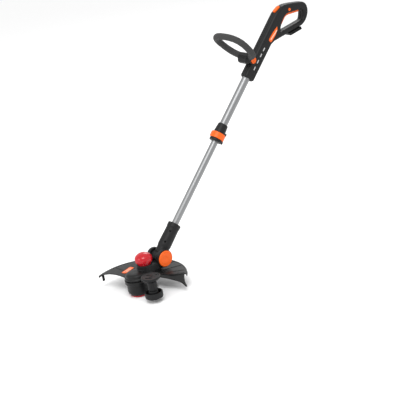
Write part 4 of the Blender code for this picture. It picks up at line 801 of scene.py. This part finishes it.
@dataclass
class LoopHandle:
    """The front loop handle, its hub and its release button."""

    tilt: float = 3.9
    centre: float = 83.6 * MM
    half_width: float = 75.7 * MM
    half_length: float = 62.7 * MM
    tube_radius: float = 11.6 * MM
    squareness: float = 2 / 2.6
    ear_radius: float = 15.0 * MM
    button_radius: float = 11.4 * MM
    button_back: float = 19.8 * MM
    button_face: float = 22.5 * MM
    rib_count: int = 11
    rib_depth: float = 0.25 * MM

    def build(self) -> None:
        """Build the bent grip, its hub and the button."""
        hub = joint_point("loop_tilt")
        tilt = math.radians(self.tilt)
        outward = FORWARD * math.cos(tilt) + UP_TUBE * math.sin(tilt)
        normal = np.cross(outward, LEFT)
        grip = surface("loop_grip", self._bent_tube(hub, outward, normal))
        sides = []
        for side in (1.0, -1.0):
            axes = Axes(hub, FORWARD, UP_TUBE * side, LEFT * side)
            profile = np.array([(0, 12.2 * MM), (self.ear_radius, 12.2 * MM), (self.ear_radius, 24 * MM),
                                (0, 24 * MM)])
            sides.append(turned(profile, axes, 64))
        finished(carved(grip, *sides), "loop", GRIP_RUBBER)
        refined("loop_handle", "loop", CHARCOAL, 0.9 * MM, 8)
        radius, back, face = self.button_radius, self.button_back, self.button_face
        profile = softened([(0, back), (radius - 0.8 * MM, back), (radius, back + 0.8 * MM),
                            (radius, face - 1.2 * MM), (radius - 1.2 * MM, face),
                            (radius - 3 * MM, face), (radius - 3.6 * MM, face - 0.6 * MM),
                            (0, face - 0.8 * MM)],
                           0.6 * MM)
        finished(surface("round_loop_button", turned(profile, side_axes(hub), 80)), "loop_button", ORANGE,
                 ("loop_button",))

    def _bent_tube(self, hub: np.ndarray, outward: np.ndarray, normal: np.ndarray
                   ) -> tuple[np.ndarray, np.ndarray]:
        """Carry a circle round a squared oval that narrows toward the hub, with shallow finger grooves.

        Args:
            hub: the point on the tilt axis that the oval starts from.
            outward: the direction from the hub to the far side.
            normal: the direction square to the oval.

        Returns:
            Points and faces.
        """
        count, sides = 360, 32
        turn = np.linspace(0, 2 * np.pi, count, endpoint=False)
        along = self.half_length * np.sign(np.cos(turn)) * np.abs(np.cos(turn)) ** self.squareness
        along = self.centre + along
        across = self.half_width * np.sign(np.sin(turn)) * np.abs(np.sin(turn)) ** self.squareness
        across *= 0.78 + 0.22 * (along - self.centre + self.half_length) / (2 * self.half_length)
        centres = hub + along[:, None] * outward + across[:, None] * LEFT
        ahead = np.roll(centres, -1, axis=0) - np.roll(centres, 1, axis=0)
        ahead /= np.linalg.norm(ahead, axis=1)[:, None]
        aside = np.cross(ahead, normal)
        aside /= np.linalg.norm(aside, axis=1)[:, None]
        step = np.linalg.norm(np.roll(centres, -1, axis=0) - centres, axis=1)
        travelled = np.cumsum(step) / step.sum()
        grip_zone = np.clip((np.cos(turn) + 0.35) * 4, 0, 1)
        swing = np.cos(2 * np.pi * travelled * self.rib_count * 2)
        ribs = self.rib_depth * grip_zone * (0.5 - 0.5 * swing) ** 2
        outline = circle(1.0, sides)[None] * (self.tube_radius - ribs)[:, None, None]
        return carried(centres, aside, np.tile(normal, (count, 1)), outline, True)


@dataclass
class RearHandle:
    """The rear D-shaped handle with trigger, buttons, trims and battery rail."""

    screws: tuple[str, ...] = ("housing_screw_low", "housing_screw_middle", "housing_screw_rear")
    side_radius: float = 5 * MM
    side_back: float = 13 * MM
    side_face: float = 20.2 * MM
    inlay_length: float = 44 * MM
    inlay_width: float = 4.6 * MM
    inlay_forward: float = -12.2 * MM
    inlay_up: float = 878 * MM
    inlay_lean: float = 8.0
    trim_face: float = 18.9 * MM
    louvre_heights: tuple[float, ...] = (738 * MM, 765 * MM, 790 * MM, 814 * MM)
    louvre_forward: float = -2 * MM
    louvre_length: float = 14.4 * MM
    louvre_width: float = 4.5 * MM
    louvre_face: float = 17.3 * MM

    def build(self) -> None:
        """Refine the shells and the controls, and add the fine details."""
        for node in ("housing_left", "housing_right"):
            refined(node, "handle", CHARCOAL, 1.0 * MM, 9)
        refined("battery_rail", "handle", SATIN_BLACK, 0.7 * MM, 4)
        refined("trigger", "trigger", ORANGE, 0.6 * MM, 8)
        refined("lock_off_button", "lock_off", ORANGE, 0.5 * MM, 6)
        for node in ("side_trim_left", "side_trim_right"):
            refined(node, "handle", ORANGE, 0.45 * MM, 3)
        for node in self.screws:
            refined(node, "handle", BLACKED_STEEL, 0.25 * MM, 2)
        self._side_button()
        self._inlays()
        self._louvres()

    def _side_button(self) -> None:
        """Turn the small round button on the left of the grip, with a dished face."""
        centre = np.array(sum((Vector(corner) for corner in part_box("side_button")), Vector()) / 2)
        centre[1] = 0.0
        radius, face = self.side_radius, self.side_face
        profile = softened([(0, self.side_back), (radius, self.side_back), (radius, face - 0.8 * MM),
                            (radius - 0.8 * MM, face), (radius - 1.6 * MM, face), (0, face - 0.7 * MM)],
                            0.4 * MM)
        finished(surface("round_side_button", turned(profile, side_axes(centre), 56)), "side_button",
                 ORANGE,
                 ("side_button",))

    def _inlays(self) -> None:
        """Lay a pale strip along each side trim."""
        lean = math.radians(self.inlay_lean)
        along = UP_TUBE * math.cos(lean) - FORWARD * math.sin(lean)
        for side, label in ((1.0, "left"), (-1.0, "right")):
            middle = SHAFT.place(np.array([self.inlay_forward, 0, self.inlay_up]))
            across = np.cross(LEFT * side, along)
            axes = Axes(middle, along, across, LEFT * side)
            levels = [(self.trim_face - 0.6 * MM, 0), (self.trim_face + 0.1 * MM, 0),
                      (self.trim_face + 0.3 * MM, 0.3 * MM)]
            strip = surface("trim_inlay_" + label,
                            stacked(long_oval(self.inlay_length, self.inlay_width), levels, axes))
            finished(strip, "handle", PALE_INLAY)

    def _louvres(self) -> None:
        """Set a pale grey insert into each slot along the sides, a little below the surface; its pale
        colour is a painted highlight standing in for the light the slots reflect.
        """
        for side, label in ((1.0, "left"), (-1.0, "right")):
            for index, height in enumerate(self.louvre_heights):
                middle = SHAFT.place(np.array([self.louvre_forward, 0, height]))
                axes = Axes(middle, UP_TUBE, np.cross(LEFT * side, UP_TUBE), LEFT * side)
                levels = [(self.louvre_face - 2 * MM, 0), (self.louvre_face - 0.3 * MM, 0),
                          (self.louvre_face, 0.3 * MM)]
                strip = surface("louvre_%s_%d" % (label, index),
                                stacked(long_oval(self.louvre_length, self.louvre_width), levels, axes))
                # the insert's pale grey is a painted highlight for the light the slots reflect
                finished(strip, "handle", PAINTED_SLOT_HIGHLIGHT)


@dataclass
class InnerParts:
    """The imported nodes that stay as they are, mostly inside, with their finishes."""

    finishes: tuple[tuple[Finish, tuple[str, ...]], ...] = (
        (SATIN_BLACK, ("guide_plug", "motor_base", "axle_cap")),
        (GREY, ("main_switch", "terminal_block", "line_reel")),
        (DRAWN_TUBE, ("heat_sink",)),
        (STEEL, ("trigger_pin", "lever_pin", "loop_axle", "pivot_pin", "feed_spring", "motor_can",
                 "motor_shaft",
                 "reel_spring", "shaft_nut", "wheel_axle")),
        (BRASS, ("contact_positive", "contact_negative", "motor_rotor")),
        (BOARD, ("control_board",)),
        (LINE, ("line_winding",)))

    def build(self) -> None:
        """Give each node its finish."""
        for finish, nodes in self.finishes:
            for node in nodes:
                materials = frame["nodes"][node].data.materials
                materials.clear()
                materials.append(finish.material())
                LOG.info("%s: %s", node, finish.name)


# ---- studio ---------------------------------------------------------------------------------
@dataclass
class Studio:
    """A pale floor, soft lights and the camera."""

    eye: tuple[float, float, float] = (2.40895, 3.85043, 1.96677)
    rightward: tuple[float, float, float] = (-0.76901, 0.61790, -0.16380)
    upward: tuple[float, float, float] = (-0.33902, -0.17698, 0.92398)
    lens: float = 130.12
    floor_size: float = 60.0

    def build(self) -> None:
        """Make the floor, the lights and the camera."""
        self._floor()
        self._lights()
        self._camera()

    def _floor(self) -> None:
        """Lay a large pale floor under the object."""
        half = self.floor_size / 2
        mesh = bpy.data.meshes.new("floor")
        mesh.from_pydata([(-half, -half, 0), (half, -half, 0), (half, half, 0), (-half, half, 0)], [],
                         [(0, 1, 2, 3)])
        floor = bpy.data.objects.new("floor", mesh)
        bpy.context.scene.collection.objects.link(floor)
        floor.location.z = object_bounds()[0].z - 0.2 * MM
        paint = bpy.data.materials.new("floor_white")
        paint.use_nodes = True
        shader = paint.node_tree.nodes["Principled BSDF"]
        shader.inputs["Base Color"].default_value = (0.93, 0.93, 0.93, 1)
        shader.inputs["Roughness"].default_value = 0.9
        shader.inputs["Specular IOR Level"].default_value = 0.1
        mesh.materials.append(paint)
        floor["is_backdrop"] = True

    def _lights(self) -> None:
        """Set a bright even sky, one large soft key light and a weaker fill."""
        world = bpy.data.worlds.new("studio")
        world.use_nodes = True
        world.node_tree.nodes["Background"].inputs["Color"].default_value = (1, 1, 1, 1)
        world.node_tree.nodes["Background"].inputs["Strength"].default_value = 1.0
        bpy.context.scene.world = world
        for name, place, size, power in (("key", (0.9, 1.2, 3.0), 1.5, 52.0), ("fill", (2.6, -0.6, 1.6),
                                                                               1.4, 14.0),
                                         ("rim", (-2.4, -1.8, 2.2), 1.2, 20.0)):
            light = bpy.data.lights.new(name, "AREA")
            light.energy = power
            light.size = size
            lamp = bpy.data.objects.new(name, light)
            lamp.location = place
            aim = Vector((-0.3, 0, 0.35)) - Vector(place)
            lamp.rotation_euler = aim.to_track_quat("-Z", "Y").to_euler()
            bpy.context.scene.collection.objects.link(lamp)

    def _camera(self) -> None:
        """Set the camera above the operator's left, ahead of the head."""
        right = Vector(self.rightward).normalized()
        up = Vector(self.upward)
        up = (up - right * up.dot(right)).normalized()
        back = right.cross(up)
        lens = bpy.data.cameras.new("camera")
        lens.lens = self.lens
        lens.sensor_width = 36.0
        lens.clip_end = 100.0
        camera = bpy.data.objects.new("camera", lens)
        camera.matrix_world = Matrix((
            (right.x, up.x, back.x, self.eye[0]), (right.y, up.y, back.y, self.eye[1]),
            (right.z, up.z, back.z, self.eye[2]), (0, 0, 0, 1)))
        bpy.context.scene.collection.objects.link(camera)
        bpy.context.scene.camera = camera
        bpy.context.scene.view_settings.view_transform = "Standard"


def main() -> None:
    """Build every sub-assembly in turn, then the studio."""
    logging.basicConfig(level=logging.INFO, format="%(message)s")
    Studio().build()
    for assembly in (Tubes(), Clamp(), LowerHousing(), MotorHead(), Spool(), EdgingWheels(), Guard(),
                     LoopHandle(),
                     RearHandle(), InnerParts()):
        assembly.build()
        LOG.info("%s done", type(assembly).__name__)


if __name__ == "__main__":
    main()
